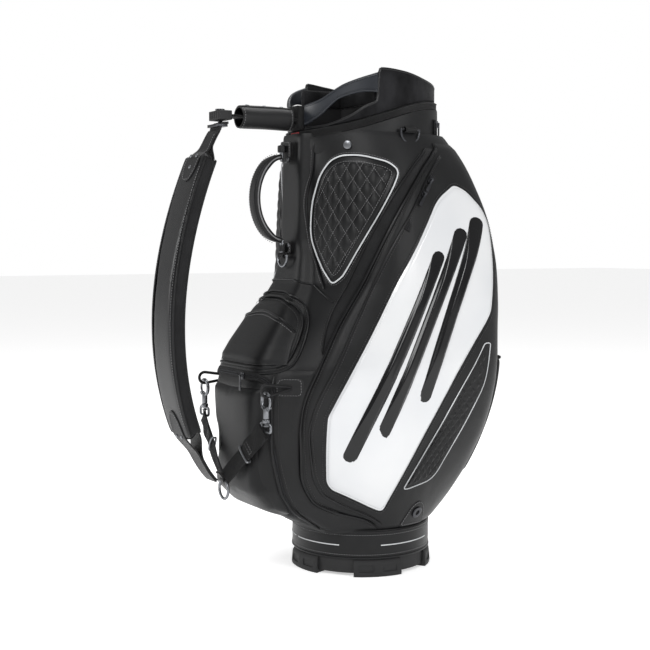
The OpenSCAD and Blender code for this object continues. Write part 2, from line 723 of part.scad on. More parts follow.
module anchor_loops() color(leather_col) both_sides()
    translate([loop_mid[0], loop_mid[1], loop_mid_z]) {
        rotate([0, 90, 0]) rotate_extrude($fn = 48) translate([loop_r, 0]) circle(loop_wire, $fn = 32);
        rotate([0, 0, loop_turn]) translate([-6, loop_r, -2]) cube([12, loop_gap - loop_r, 4]);
    }

web_t = 2.5;
web_w = 34;

module hook_webbing() color(fabric_col) both_sides() {
    foot = [11, -ring_y - 1, ring_z + 22];
    head = [hook_x - 4, -hook_y - 3, hook_z - 18];
    way = unit(head - foot);
    out = unit(cross(cross(way, [0.2, -1, 0]), way));
    side = cross(out, way);
    corner = function(base, s, k) base + side * s * web_w / 2 + out * k * web_t / 2;
    pts = [for (base = [foot, head]) each [
        corner(base, -1, -1), corner(base, 1, -1), corner(base, 1, 1), corner(base, -1, 1)
    ]];
    polyhedron(pts, tube_faces(2, 4));
    translate([hook_x, -hook_y, hook_z - 7]) difference() {
        cylinder(h = 6, r = 6.5, $fn = 32);
        translate([0, 0, -1]) cylinder(h = 8, r = 2.5 + run_gap, $fn = 32);
    }
    difference() {
        translate([hook_x - 19, -hook_y - 3, hook_z - 24]) cube([38, 5, 19]);
        translate([hook_x - 15, -hook_y - 10, hook_z - 20]) cube([30, 20, 10.5]);
        translate([hook_x, -hook_y, hook_z - 12]) cylinder(h = 9, r = 2.5 + run_gap, $fn = 32);
    }
}

module strap_ring() color(metal_col) translate([0, -ring_y, ring_z])
    rotate([90, 0, 0]) rotate_extrude($fn = 64) translate([strap_ring_r, 0]) circle(wire_r + 0.3, $fn = 32);

// ---- strap ---------------------------------------------------------------------------------

top_web_w = 32;
sleeve_r = 20;
sleeve_in = 17;
sleeve_y0 = post_y + 9;
buckle_back = 12.7;
sleeve_end_gap = 23.3;
sleeve_len = swivel_y - buckle_back - sleeve_end_gap - sleeve_y0;
buckle_h = 16;

module top_webbing() color(fabric_col) {
    translate([-top_web_w / 2, -swivel_y + 13, web_z - 2]) cube([top_web_w, swivel_y - 13 - post_y, 4]);
}

module leather_sleeve() color(leather_col) {
    translate([0, -sleeve_y0, web_z]) rotate([90, 0, 0]) difference() {
        cylinder(h = sleeve_len, r = sleeve_r, $fn = 64);
        translate([0, 0, -1]) cylinder(h = sleeve_len + 2, r = sleeve_in, $fn = 64);
    }
    for (k = [0:2])
        translate([0, -sleeve_y0 - 16 - 34 * k, web_z + sleeve_r - 0.5]) cylinder(h = 2.5, r = 4, $fn = 24);
}

module strap_buckle() color(metal_col) difference() {
    translate([-22, -swivel_y - 11, web_z - buckle_h / 2]) cube([44, 11 + buckle_back, buckle_h]);
    translate([0, -swivel_y, web_z]) cylinder(h = buckle_h + 2, r = stud_r + run_gap, center = true, $fn = 32);
}

// The strap hangs in a bow from the swivel stud to the ring
strap_top_z = web_z - 24;
strap_foot_z = ring_z + 12;
strap_foot_y = ring_y + 11;
strap_top_y = swivel_y + 8;
function bow(u) = [
    -strap_foot_y - (strap_top_y - strap_foot_y) * u - strap_bow * pow(sin(180 * pow(u, 0.86)), 0.8),
    strap_foot_z + (strap_top_z - strap_foot_z) * u
];
pad_u0 = 0.13;
pad_u1 = 0.94;

module strap_pad() color(leather_col)
    strip([for (i = [0:22]) bow(pad_u0 + (pad_u1 - pad_u0) * i / 22)], strap_w, strap_t);

module strap_leathers() color(leather_col) {
    strip([for (i = [0:4]) bow(0.01 + (pad_u0 - 0.014) * i / 4)], 34, 6);
    strip([for (i = [0:3]) bow(pad_u1 + 0.004 + (0.996 - pad_u1) * i / 3)], 36, 6);
}

swivel_foot_z = strap_top_z + 4;
stud_top_z = web_z + buckle_h / 2 + run_gap + 3;

module strap_swivel() color(metal_col) translate([0, -swivel_y, 0]) {
    translate([-21, -14, swivel_foot_z]) cube([42, 18, 5]);
    translate([0, 0, swivel_foot_z]) cylinder(h = stud_top_z - swivel_foot_z, r = stud_r, $fn = 32);
    translate([0, 0, stud_top_z - 3]) cylinder(h = 3, r = stud_r + 4, $fn = 32);
}

base_cup();
base_feet();
base_band();
liner_tube();
stay_rods();
ball_pocket();
front_gussets();
valuables_pocket();
neck_sheath_left();
neck_sheath_right();
side_pocket_left();
side_pocket_right();
back_panel();
yoke();
spine_panel();
white_panels();
quilt_panels();
lower_quilts();
mesh_pockets();
pocket_piping();
zip_tapes();
umbrella_eyelets();
collar_wall();
trim_ring();
grab_strips();
divider_bars();
well_dividers();
strap_post();
handle_anchors();
rivets();
carry_handle();
ring_tabs();
front_ring();
side_ring_left();
side_ring_right();
side_slider_low_left();
side_slider_low_right();
side_slider_high_left();
side_slider_high_right();
side_pull_low_left();
side_pull_low_right();
side_pull_high_left();
side_pull_high_right();
rear_slider_left();
rear_slider_right();
ball_slider();
ball_pull();
anchor_loops();
hook_webbing();
snap_hook_left();
snap_hook_right();
hook_gate_left();
hook_gate_right();
strap_ring();
top_webbing();
leather_sleeve();
strap_buckle();
strap_pad();
strap_leathers();
strap_swivel();
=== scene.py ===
# %% [markdown]
# # A staff bag for golf clubs
# This lesson builds the looks of a tour-size golf bag round a fixed frame. The frame already holds every
# real part at its real size: base, tube, cuff, rings, hooks and zips. We add what a drawing of solids
# cannot show: stretched covers, piping, quilting, stitches, velvet, webbing and worn metal.

# %% Load the frame
import math

import bpy
from mathutils import Matrix, Vector, noise
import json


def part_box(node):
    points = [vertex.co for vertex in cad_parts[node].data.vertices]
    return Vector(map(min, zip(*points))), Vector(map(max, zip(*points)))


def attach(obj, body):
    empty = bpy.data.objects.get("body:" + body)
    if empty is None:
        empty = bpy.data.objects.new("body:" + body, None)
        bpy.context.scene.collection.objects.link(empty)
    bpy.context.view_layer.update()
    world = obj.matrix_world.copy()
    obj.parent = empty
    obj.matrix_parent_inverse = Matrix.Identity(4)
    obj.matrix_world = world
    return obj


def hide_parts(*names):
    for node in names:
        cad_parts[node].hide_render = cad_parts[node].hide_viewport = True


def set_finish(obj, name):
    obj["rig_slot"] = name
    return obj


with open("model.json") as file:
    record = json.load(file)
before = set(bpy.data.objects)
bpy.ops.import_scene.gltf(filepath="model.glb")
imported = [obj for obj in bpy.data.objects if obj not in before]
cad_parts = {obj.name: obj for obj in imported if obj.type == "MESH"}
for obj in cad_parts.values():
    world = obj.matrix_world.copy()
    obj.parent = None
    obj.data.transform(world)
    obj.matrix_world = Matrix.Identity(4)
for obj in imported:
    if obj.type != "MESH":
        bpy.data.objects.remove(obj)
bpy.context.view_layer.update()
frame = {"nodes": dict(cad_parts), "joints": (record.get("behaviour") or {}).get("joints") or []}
nodes = frame["nodes"]

# %% [markdown]
# ## Camera, floor and light
# The camera is made first, so that every render is framed the same way. It stands in front of the
# bag's corner, a little over half the bag's height, with a 66 mm lens. The floor is a plain pale sheet,
# and four soft lights in a white room stand in for a studio. The room looks brighter
# than it lights, so that black covers keep their depth in front of it.

# %% Camera, floor and light
CAMERA_TURN = math.radians(57)
CAMERA_AWAY = 2.23
CAMERA_HEIGHT = 0.592
AIM_RIGHT = -0.066
AIM_DOWN = -0.151
FLOOR_GLOW = 0.5


def add_camera():
    towards = Vector((math.sin(CAMERA_TURN), -math.cos(CAMERA_TURN), 0))
    right = Vector((math.cos(CAMERA_TURN), math.sin(CAMERA_TURN), 0))
    place = towards * CAMERA_AWAY + Vector((0, 0, CAMERA_HEIGHT))
    target = right * AIM_RIGHT + Vector((0, 0, CAMERA_HEIGHT + AIM_DOWN))
    bpy.ops.object.camera_add(location=place)
    camera = bpy.context.object
    camera.name = "studio_camera"
    camera.data.lens = 66.5
    camera.rotation_euler = (target - place).to_track_quat("-Z", "Y").to_euler()
    bpy.context.scene.camera = camera


def add_floor():
    bpy.ops.mesh.primitive_plane_add(size=40)
    floor = bpy.context.object
    floor.name = "studio_floor"
    pale = bpy.data.materials.new("pale_floor")
    pale.use_nodes = True
    shader = pale.node_tree.nodes["Principled BSDF"]
    shader.inputs["Base Color"].default_value = (0.95, 0.95, 0.95, 1)
    shader.inputs["Emission Color"].default_value = (1, 1, 1, 1)
    shader.inputs["Emission Strength"].default_value = FLOOR_GLOW
    shader.inputs["Roughness"].default_value = 0.7
    floor.data.materials.append(pale)


def add_light(name, place, size, power):
    bpy.ops.object.light_add(type="AREA", location=place)
    lamp = bpy.context.object
    lamp.name = name
    lamp.data.size = size
    lamp.data.energy = power
    lamp.rotation_euler = (Vector((0, 0, 0.45)) - Vector(place)).to_track_quat("-Z", "Y").to_euler()


def add_world(strength, seen):
    """A white room: strength is how much it lights, seen how bright it looks behind the bag."""
    world = bpy.data.worlds.new("studio_world")
    world.use_nodes = True
    tree = world.node_tree
    room = tree.nodes["Background"]
    room.inputs["Color"].default_value = (1, 1, 1, 1)
    room.inputs["Strength"].default_value = strength
    backdrop = tree.nodes.new("ShaderNodeBackground")
    backdrop.inputs["Color"].default_value = (1, 1, 1, 1)
    backdrop.inputs["Strength"].default_value = seen
    ray = tree.nodes.new("ShaderNodeLightPath")
    mix = tree.nodes.new("ShaderNodeMixShader")
    tree.links.new(ray.outputs["Is Camera Ray"], mix.inputs["Fac"])
    tree.links.new(room.outputs["Background"], mix.inputs[1])
    tree.links.new(backdrop.outputs["Background"], mix.inputs[2])
    tree.links.new(mix.outputs["Shader"], tree.nodes["World Output"].inputs["Surface"])
    bpy.context.scene.world = world


add_camera()
add_floor()
add_light("key_light", (2.2, -2.4, 2.6), 1.4, 58)
add_light("side_light", (3.0, 0.8, 1.4), 0.8, 26)
add_light("front_light", (-1.6, -2.8, 1.2), 0.8, 26)
add_light("top_light", (-0.4, 0.6, 3.4), 1.8, 60)
add_world(0.42, 1.0)
bpy.context.scene.view_settings.view_transform = "Standard"
print("camera at", tuple(round(c, 2) for c in bpy.context.scene.camera.location))

# %% [markdown]
# ## The surface that all the covers lie on
# A bag's covers are patches of one smooth body: round at the foot and neck, squarer at mid height, with
# the ball pocket standing out in front. We could loft it from sections, but one formula for the distance
# from the axis is shorter, and every patch, cord and stitch can then be placed on it by angle and height.
# Angles run in degrees from the front round to the back; heights in percent from base wrap to cuff.

# %% The body's surface
BASE_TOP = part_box("base_band")[1][2]
CUFF_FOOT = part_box("collar_wall")[1][2] - 0.1148
BODY_H = CUFF_FOOT - BASE_TOP
ROUND_TAB = [(0, 0.127), (30, 0.133), (74, 0.140), (100, 0.140), (104, 0.135)]
DEPTH_TAB = [
    (0, 0.128), (4, 0.178), (7, 0.232), (11.5, 0.262), (38, 0.265), (42.5, 0.256),
    (48, 0.234), (55, 0.200), (63, 0.166), (70, 0.155), (100, 0.150), (103, 0.142), (106, 0.136),
]
HALF_TAB = [(0, 0.098), (38, 0.098), (48, 0.084), (63, 0.060), (74, 0.042)]


def around(radius, a, z):
    """A point at a radius and an angle in degrees round the bag's axis."""
    angle = math.radians(a)
    return Vector((radius * math.sin(angle), -radius * math.cos(angle), z))


def look(x, table):
    if x <= table[0][0]:
        return table[0][1]
    for (x0, y0), (x1, y1) in zip(table, table[1:]):
        if x <= x1:
            return y0 + (y1 - y0) * (x - x0) / (x1 - x0)
    return table[-1][1]


def ease(x, low, high):
    t = min(max((x - low) / (high - low), 0), 1)
    return t * t * (3 - 2 * t)


def box_r(angle, wide, deep, power):
    return (abs(math.sin(angle) / wide) ** power + abs(math.cos(angle) / deep) ** power) ** (-1 / power)


def body_r(a, p):
    angle = math.radians(a)
    core = look(p, ROUND_TAB)
    if p < 50:
        full = 1 - (1 - min(max(p / 45, 0), 1)) ** 2
    else:
        full = 1 - min(max((p - 52.5) / 51, 0), 1) ** 2.6
    depth = look(p, DEPTH_TAB)
    front = 0.001
    if math.cos(angle) > 0:
        plan = box_r(angle, 0.190, max(depth - 0.018, 0.140), 2.1)
    else:
        plan = box_r(angle, 0.190, 0.200, 8)
    if math.cos(angle) > 0.05:
        front = box_r(angle, look(p, HALF_TAB), depth, 8)
    side = core + full * (plan - core)
    return (side**20 + front**20) ** (1 / 20)


def height(p):
    return BASE_TOP + p * BODY_H / 100


def percent(z):
    return (z - BASE_TOP) * 100 / BODY_H


def spot(a, p, lift=0.0):
    r = body_r(a, p) + lift
    angle = math.radians(a)
    return Vector((r * math.sin(angle), -r * math.cos(angle), height(p)))


def out_of(a, p):
    """The direction that points straight out of the body there."""
    round_way = spot(a + 0.6, p) - spot(a - 0.6, p)
    up_way = spot(a, p + 0.4) - spot(a, p - 0.4)
    return round_way.cross(up_way).normalized()


print("body height:", round(BODY_H, 3), "front at mid height:", round(body_r(0, 25), 3))

# %% [markdown]
# ## Finishes
# Every finish is procedural. Fine relief comes from noise, Voronoi cells or waves read in object
# coordinates, so the scale is real: leather grain is about a millimetre, webbing ribs two. One helper
# wires colour, roughness and bump; each finish then adds its own texture.

# %% Finish helpers
def new_finish(name, colour, roughness, **inputs):
    finish = bpy.data.materials.new(name)
    finish.use_nodes = True
    shader = finish.node_tree.nodes["Principled BSDF"]
    shader.inputs["Base Color"].default_value = (*colour, 1)
    shader.inputs["Roughness"].default_value = roughness
    for key, value in inputs.items():
        shader.inputs[key.replace("_", " ")].default_value = value
    finish.diffuse_color = (*colour, 1)
    return finish, finish.node_tree, shader


def coords(tree, scale, uv=False, turn=(0, 0, 0)):
    place = tree.nodes.new("ShaderNodeTexCoord")
    mapping = tree.nodes.new("ShaderNodeMapping")
    mapping.inputs["Scale"].default_value = scale
    mapping.inputs["Rotation"].default_value = turn
    tree.links.new(place.outputs["UV" if uv else "Object"], mapping.inputs["Vector"])
    return mapping.outputs["Vector"]


def texture(tree, kind, vector, **inputs):
    node = tree.nodes.new("ShaderNodeTex" + kind)
    for key, value in inputs.items():
        if key in ("wave_type", "bands_direction", "feature", "wave_profile"):
            setattr(node, key, value)
        else:
            node.inputs[key].default_value = value
    tree.links.new(vector, node.inputs["Vector"])
    return node


def ramp(tree, value, low, high, low_colour, high_colour):
    node = tree.nodes.new("ShaderNodeValToRGB")
    node.color_ramp.elements[0].position = low
    node.color_ramp.elements[1].position = high
    node.color_ramp.elements[0].color = (*low_colour, 1)
    node.color_ramp.elements[1].color = (*high_colour, 1)
    tree.links.new(value, node.inputs["Fac"])
    return node.outputs["Color"]


def spread(tree, value, low, high):
    node = tree.nodes.new("ShaderNodeMapRange")
    node.inputs["To Min"].default_value = low
    node.inputs["To Max"].default_value = high
    tree.links.new(value, node.inputs["Value"])
    return node.outputs["Result"]


def bump(tree, shader, heights, distance, strength=1.0):
    """Chains one bump node per height, the finest last."""
    last = None
    for value, share in heights:
        node = tree.nodes.new("ShaderNodeBump")
        node.inputs["Distance"].default_value = distance * share
        node.inputs["Strength"].default_value = strength
        tree.links.new(value, node.inputs["Height"])
        if last:
            tree.links.new(last, node.inputs["Normal"])
        last = node.outputs["Normal"]
    tree.links.new(last, shader.inputs["Normal"])


print("finish helpers ready")

# %% [markdown]
# ### Coated fabric, leather and patent
# The black cover is a coated fabric: fine pebbled grain over soft, uneven tension, so its highlights
# break up. Tool leather is the same idea with bigger cells and rubbed, paler high spots. The white panel
# is patent: almost flat, with a clear coat and a faint orange peel.

# %% Coated fabric, leather and patent
def grained_finish(name, colour, grain, rough, depth, coat=0.0, shine=0.25):
    finish, tree, shader = new_finish(
        name, colour, rough, Coat_Weight=coat, Coat_Roughness=0.25, Specular_IOR_Level=shine,
    )
    fine = texture(tree, "Voronoi", coords(tree, (grain, grain, grain)), Scale=1.0, Randomness=0.9)
    broad = texture(tree, "Noise", coords(tree, (9, 9, 7)), Scale=1.0, Detail=4.0)
    tiny = texture(tree, "Noise", coords(tree, (grain * 3,) * 3), Scale=1.0, Detail=2.0)
    pale = tuple(c * 1.5 + 0.002 for c in colour)
    dark = tuple(c * 0.72 for c in colour)
    tree.links.new(ramp(tree, broad.outputs["Fac"], 0.3, 0.7, dark, pale), shader.inputs["Base Color"])
    tree.links.new(spread(tree, broad.outputs["Fac"], rough - 0.1, rough + 0.1), shader.inputs["Roughness"])
    bump(tree, shader, [(fine.outputs["Distance"], 1.0), (tiny.outputs["Fac"], 0.4)], depth)
    return finish


def patent_finish():
    finish, tree, shader = new_finish(
        "white_patent", (0.80, 0.81, 0.82), 0.24, Coat_Weight=0.6, Coat_Roughness=0.06,
    )
    peel = texture(tree, "Noise", coords(tree, (60, 60, 60)), Scale=1.0, Detail=2.0)
    broad = texture(tree, "Noise", coords(tree, (5, 5, 5)), Scale=1.0, Detail=3.0)
    cool = ramp(tree, broad.outputs["Fac"], 0.35, 0.7, (0.56, 0.57, 0.585), (0.63, 0.635, 0.64))
    tree.links.new(cool, shader.inputs["Base Color"])
    bump(tree, shader, [(broad.outputs["Fac"], 6.0), (peel.outputs["Fac"], 0.5)], 0.0004)
    return finish


PU = grained_finish("coated_fabric", (0.0036, 0.0037, 0.0041), 1400, 0.40, 0.00012)
PU_SMOOTH = grained_finish("smooth_coated_fabric", (0.0040, 0.0041, 0.0046), 2200, 0.33, 0.00006, 0.04)
LEATHER = grained_finish("grained_leather", (0.0065, 0.0065, 0.007), 900, 0.46, 0.0002)
PATENT = patent_finish()
print("skins:", PU.name, PU_SMOOTH.name, LEATHER.name, PATENT.name)

# %% [markdown]
# ### Cloths: knit, webbing, velvet, thread
# Knit and webbing are two crossed wave textures, one for each run of yarn. Velvet has no weave that
# shows; it has a pile, so it gets sheen and brushed, cloudy patches. Thread is a pale grey, twisted by
# a slanting wave, with painted shade darkening the grooves of its twist.

# %% Cloths
def woven_finish(name, colour, rib, rough, depth, turn=0.0, sheen=0.04):
    finish, tree, shader = new_finish(
        name, colour, rough, Sheen_Weight=sheen, Sheen_Roughness=0.5, Specular_IOR_Level=0.25,
    )
    turned = (0, 0, turn)
    warp = texture(tree, "Wave", coords(tree, (rib, rib, 0), turn=turned), Scale=1.0, bands_direction="X")
    weft = texture(tree, "Wave", coords(tree, (0, 0, rib)), Scale=1.0, bands_direction="Z")
    cloud = texture(tree, "Noise", coords(tree, (30, 30, 30)), Scale=1.0, Detail=3.0)
    pale = tuple(c * 1.6 + 0.003 for c in colour)
    tree.links.new(ramp(tree, cloud.outputs["Fac"], 0.3, 0.75, colour, pale), shader.inputs["Base Color"])
    bump(tree, shader, [(warp.outputs["Fac"], 1.0), (weft.outputs["Fac"], 1.0)], depth)
    return finish


def velvet_finish():
    colour = (0.006, 0.006, 0.0065)
    finish, tree, shader = new_finish(
        "short_velvet", colour, 0.95, Sheen_Weight=0.12, Sheen_Roughness=0.35, Specular_IOR_Level=0.15
    )
    pile = texture(tree, "Noise", coords(tree, (1500, 1500, 1500)), Scale=1.0, Detail=2.0)
    brushed = texture(tree, "Noise", coords(tree, (26, 26, 16)), Scale=1.0, Detail=5.0)
    tree.links.new(
        ramp(tree, brushed.outputs["Fac"], 0.36, 0.68, (0.003, 0.003, 0.0034), (0.016, 0.016, 0.0175)),
        shader.inputs["Base Color"],
    )
    bump(tree, shader, [(brushed.outputs["Fac"], 8.0), (pile.outputs["Fac"], 1.0)], 0.00025)
    return finish


def thread_finish(name, colour):
    finish, tree, shader = new_finish(name, colour, 0.6, Sheen_Weight=0.2)
    twist = texture(tree, "Wave", coords(tree, (900, 900, 900)), Scale=1.0, bands_direction="DIAGONAL")
    # painted shade: the thread is darker in the grooves of its twist, where the bump is lowest
    dark = tuple(c * 0.6 for c in colour)
    tree.links.new(ramp(tree, twist.outputs["Fac"], 0.2, 0.8, dark, colour), shader.inputs["Base Color"])
    bump(tree, shader, [(twist.outputs["Fac"], 1.0)], 0.0001)
    return finish


KNIT = woven_finish("stretch_knit", (0.0055, 0.0055, 0.006), 2400, 0.85, 0.00012)
WEBBING = woven_finish("nylon_webbing", (0.006, 0.006, 0.0065), 1500, 0.7, 0.0003)
TAPE = woven_finish("zip_tape_weave", (0.0045, 0.0045, 0.005), 2600, 0.8, 0.00015)
VELVET = velvet_finish()
GREY_THREAD = thread_finish("grey_thread", (0.19, 0.19, 0.195))
BLACK_THREAD = thread_finish("black_thread", (0.012, 0.012, 0.013))
WHITE_CORD = grained_finish("white_piping", (0.46, 0.47, 0.48), 2500, 0.4, 0.00004)
print("cloths:", KNIT.name, WEBBING.name, VELVET.name)

# %% [markdown]
# ### Metal, rubber and moulded plastic
# The metal is dark plated zinc: smooth, with faint smudges and tiny scratches in its roughness. The
# base is matt moulded rubber with a fine spark-eroded texture, and the grab strips are a satin bluish
# plastic with soft marks of handling.

# %% Metal, rubber and plastic
def metal_finish(name, colour, rough):
    finish, tree, shader = new_finish(name, colour, rough, Metallic=1.0)
    smudge = texture(tree, "Noise", coords(tree, (60, 60, 60)), Scale=1.0, Detail=6.0)
    scratch = texture(tree, "Noise", coords(tree, (2000, 90, 700)), Scale=1.0, Detail=3.0)
    pale = tuple(min(c * 1.35, 1) for c in colour)
    tree.links.new(ramp(tree, smudge.outputs["Fac"], 0.35, 0.7, colour, pale), shader.inputs["Base Color"])
    tree.links.new(
        spread(tree, smudge.outputs["Fac"], rough - 0.08, rough + 0.14), shader.inputs["Roughness"],
    )
    bump(tree, shader, [(scratch.outputs["Fac"], 1.0)], 0.00003)
    return finish


def moulded_finish(name, colour, rough, spark, depth):
    finish, tree, shader = new_finish(name, colour, rough, Specular_IOR_Level=0.35)
    fine = texture(tree, "Noise", coords(tree, (spark, spark, spark)), Scale=1.0, Detail=3.0)
    worn = texture(tree, "Noise", coords(tree, (14, 14, 14)), Scale=1.0, Detail=5.0)
    pale = tuple(c * 1.4 + 0.002 for c in colour)
    tree.links.new(ramp(tree, worn.outputs["Fac"], 0.35, 0.75, colour, pale), shader.inputs["Base Color"])
    tree.links.new(spread(tree, worn.outputs["Fac"], rough - 0.08, rough + 0.1), shader.inputs["Roughness"])
    bump(tree, shader, [(fine.outputs["Fac"], 1.0)], depth)
    return finish


GUNMETAL = metal_finish("gunmetal_plating", (0.16, 0.165, 0.175), 0.28)
DARK_METAL = metal_finish("black_plating", (0.045, 0.046, 0.05), 0.32)
ROD = metal_finish("drawn_aluminium", (0.62, 0.63, 0.65), 0.35)
RUBBER = moulded_finish("moulded_rubber", (0.009, 0.009, 0.0095), 0.62, 900, 0.0002)
TRIM = woven_finish("binding_tape", (0.007, 0.007, 0.0075), 1300, 0.65, 0.0005)
GRAB = moulded_finish("satin_grab_plastic", (0.012, 0.014, 0.018), 0.36, 500, 0.00004)
BLACK_GLOSS = moulded_finish("raised_black_rubber", (0.0025, 0.0025, 0.003), 0.14, 300, 0.00004)
print("hard finishes:", GUNMETAL.name, RUBBER.name, GRAB.name)

# %% [markdown]
# ## Modelling helpers
# Four shapes make almost every soft piece. A sheet is a grid primitive whose points are laid on the
# body. A panel is a grid bent round into a disc, so that its rings follow its own outline and its edge
# can roll under. A cord is a grid rolled into a tube along a path. Stitches are one small bead, copied.

# %% Selection and finishing
def select_only(piece):
    bpy.ops.object.select_all(action="DESELECT")
    piece.select_set(True)
    bpy.context.view_layer.objects.active = piece


def mend(piece, distance=0.00002):
    """Merges points that meet, and turns the faces outwards."""
    select_only(piece)
    bpy.ops.object.mode_set(mode="EDIT")
    bpy.ops.mesh.select_all(action="SELECT")
    bpy.ops.mesh.remove_doubles(threshold=distance)
    bpy.ops.mesh.normals_make_consistent(inside=False)
    bpy.ops.object.mode_set(mode="OBJECT")


def apply_modifier(piece, kind, **settings):
    select_only(piece)
    modifier = piece.modifiers.new(kind.lower(), kind)
    for key, value in settings.items():
        setattr(modifier, key, value)
    bpy.ops.object.modifier_apply(modifier=modifier.name)


def finish_piece(piece, name, finish, body="bag", slot=None, angle=40):
    select_only(piece)
    bpy.ops.object.shade_smooth_by_angle(angle=math.radians(angle))
    piece.name = name
    piece.data.materials.clear()
    piece.data.materials.append(finish)
    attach(piece, body)
    if slot:
        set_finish(piece, slot)
    return piece


def mirrored(piece, name, body="bag"):
    """A copy on the other side, with its own mesh."""
    twin = piece.copy()
    twin.data = piece.data.copy()
    twin.parent = None
    for key in [k for k in twin.keys() if k.startswith("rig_")]:
        del twin[key]
    bpy.context.collection.objects.link(twin)
    twin.matrix_world = Matrix.Identity(4)
    twin.data.transform(Matrix.Scale(-1, 4, (1, 0, 0)))
    twin.data.flip_normals()
    twin.name = name
    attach(twin, body)
    if "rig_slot" in piece:
        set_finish(twin, piece["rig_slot"])
    return twin


print("nodes in the frame:", len(nodes))

# %% [markdown]
# ### Sheets, panels, cords and stitches
# A grid primitive has points in even rows, so a place for each row and column is enough to lay it on the
# body, roll it into a tube or bend it into a disc. Copies of one small bead make a whole row of stitches
# as a single mesh, which is far lighter than hundreds of objects.

# %% Sheets, panels, cords and stitches
def new_grid(cols, rows, place):
    """A grid primitive laid out by place(u, v), with u and v from 0 to 1."""
    bpy.ops.object.select_all(action="DESELECT")
    bpy.ops.mesh.primitive_grid_add(x_subdivisions=cols, y_subdivisions=rows, size=1)
    piece = bpy.context.object
    for vertex in piece.data.vertices:
        vertex.co = place(vertex.co.x + 0.5, vertex.co.y + 0.5)
    return piece


def sheet_on_body(first, last, p0, p1, cols, rows, lift, thick=0.002):
    """A cover between two edges: first(p) and last(p) are its angles at a height."""

    def place(u, v):
        p = p0 + (p1 - p0) * v
        a = first(p) + (last(p) - first(p)) * u
        return spot(a, p, lift(a, p))

    piece = new_grid(cols, rows, place)
    apply_modifier(piece, "SOLIDIFY", thickness=thick, offset=-1)
    return piece


def arc_x(a):
    """Distance round the body for an angle, on a plain cylinder, to draw outlines at their true shape."""
    return math.radians(a) * 0.165


def rounded(outline, corner, steps=6):
    """Closed outline of (angle, percent) points with its corners rounded to a radius in metres."""
    flat = [Vector((arc_x(a), height(p))) for a, p in outline]
    result = []
    for i, here in enumerate(flat):
        before, after = flat[i - 1], flat[(i + 1) % len(flat)]
        reach = min(corner, (before - here).length * 0.45, (after - here).length * 0.45)
        start = here + (before - here).normalized() * reach
        end = here + (after - here).normalized() * reach
        for k in range(steps + 1):
            t = k / steps
            result.append(start.lerp(here, t).lerp(here.lerp(end, t), t))
    return result


def even(points, count, closed=True):
    """The same line with count points at even steps along it."""
    ring = points + [points[0]] if closed else points
    marks = [0.0]
    for one, two in zip(ring, ring[1:]):
        marks.append(marks[-1] + (two - one).length)
    result, j = [], 0
    steps = count if closed else count - 1
    for i in range(count):
        want = marks[-1] * i / steps
        while j < len(ring) - 2 and marks[j + 1] < want:
            j += 1
        gap = marks[j + 1] - marks[j]
        result.append(ring[j].lerp(ring[j + 1], (want - marks[j]) / gap if gap else 0))
    return result


def on_body(flat, lift):
    return spot(math.degrees(flat.x / 0.165), percent(flat.y), lift)


def panel_on_body(edge, rings, lift, thick=0.0015):
    """A patch inside a closed flat outline; lift(flat point, share from middle to edge) raises it."""
    count = len(edge)
    middle = sum(edge, Vector((0, 0))) / count
    ring_mark = [(j / rings) ** 0.8 for j in range(rings + 1)]

    def place(u, v):
        point = middle.lerp(edge[round(u * count) % count], ring_mark[round(v * rings)])
        return on_body(point, lift(point, ring_mark[round(v * rings)]))

    piece = new_grid(count, rings, place)
    mend(piece)
    apply_modifier(piece, "SOLIDIFY", thickness=thick, offset=-1)
    return piece


def cord(path, radius, sides=8, closed=False, flat=1.0, ups=None):
    """A round cord along a path. flat squeezes it; ups are the directions of its flat side."""
    count = len(path)
    last = count - 1

    def place(u, v):
        i = round(v * (count if closed else last))
        here = path[i % count]
        way = (path[(i + 1) % count] - path[i - 1]) if closed else (
            path[min(i + 1, last)] - path[max(i - 1, 0)]
        )
        way = way.normalized()
        up = ups[i % count] if ups else Vector((here.x, here.y, 0)).normalized()
        side = way.cross(up).normalized()
        up = side.cross(way).normalized()
        size = radius if closed or 0 < i < last else radius * 0.02
        angle = 2 * math.pi * u
        return here + side * math.cos(angle) * size + up * math.sin(angle) * size * flat

    piece = new_grid(sides, count if closed else last, place)
    mend(piece)
    return piece


def join_shapes(name, template, placements):
    """One mesh with the template's shape at each placement matrix."""
    points, faces = [], []
    for place in placements:
        start = len(points)
        points += [place @ vertex.co for vertex in template.data.vertices]
        faces += [[start + i for i in face.vertices] for face in template.data.polygons]
    mesh = bpy.data.meshes.new(name)
    mesh.from_pydata(points, [], faces)
    piece = bpy.data.objects.new(name, mesh)
    bpy.context.collection.objects.link(piece)
    bpy.data.objects.remove(template, do_unlink=True)
    return piece


def frame_at(here, way, up):
    """Placement with X along way and Z along up."""
    way = way.normalized()
    side = up.cross(way).normalized()
    up = way.cross(side)
    turn = Matrix((way, side, up)).transposed().to_4x4()
    return Matrix.Translation(here) @ turn


print("helpers ready")

# %% [markdown]
# ## Outlines of the covers
# Each edge is a short table of heights and angles, drawn through with a smooth curve, as a pattern cutter
# joins marks with a flexible ruler. The curve never overshoots its marks, so that edges keep their order.

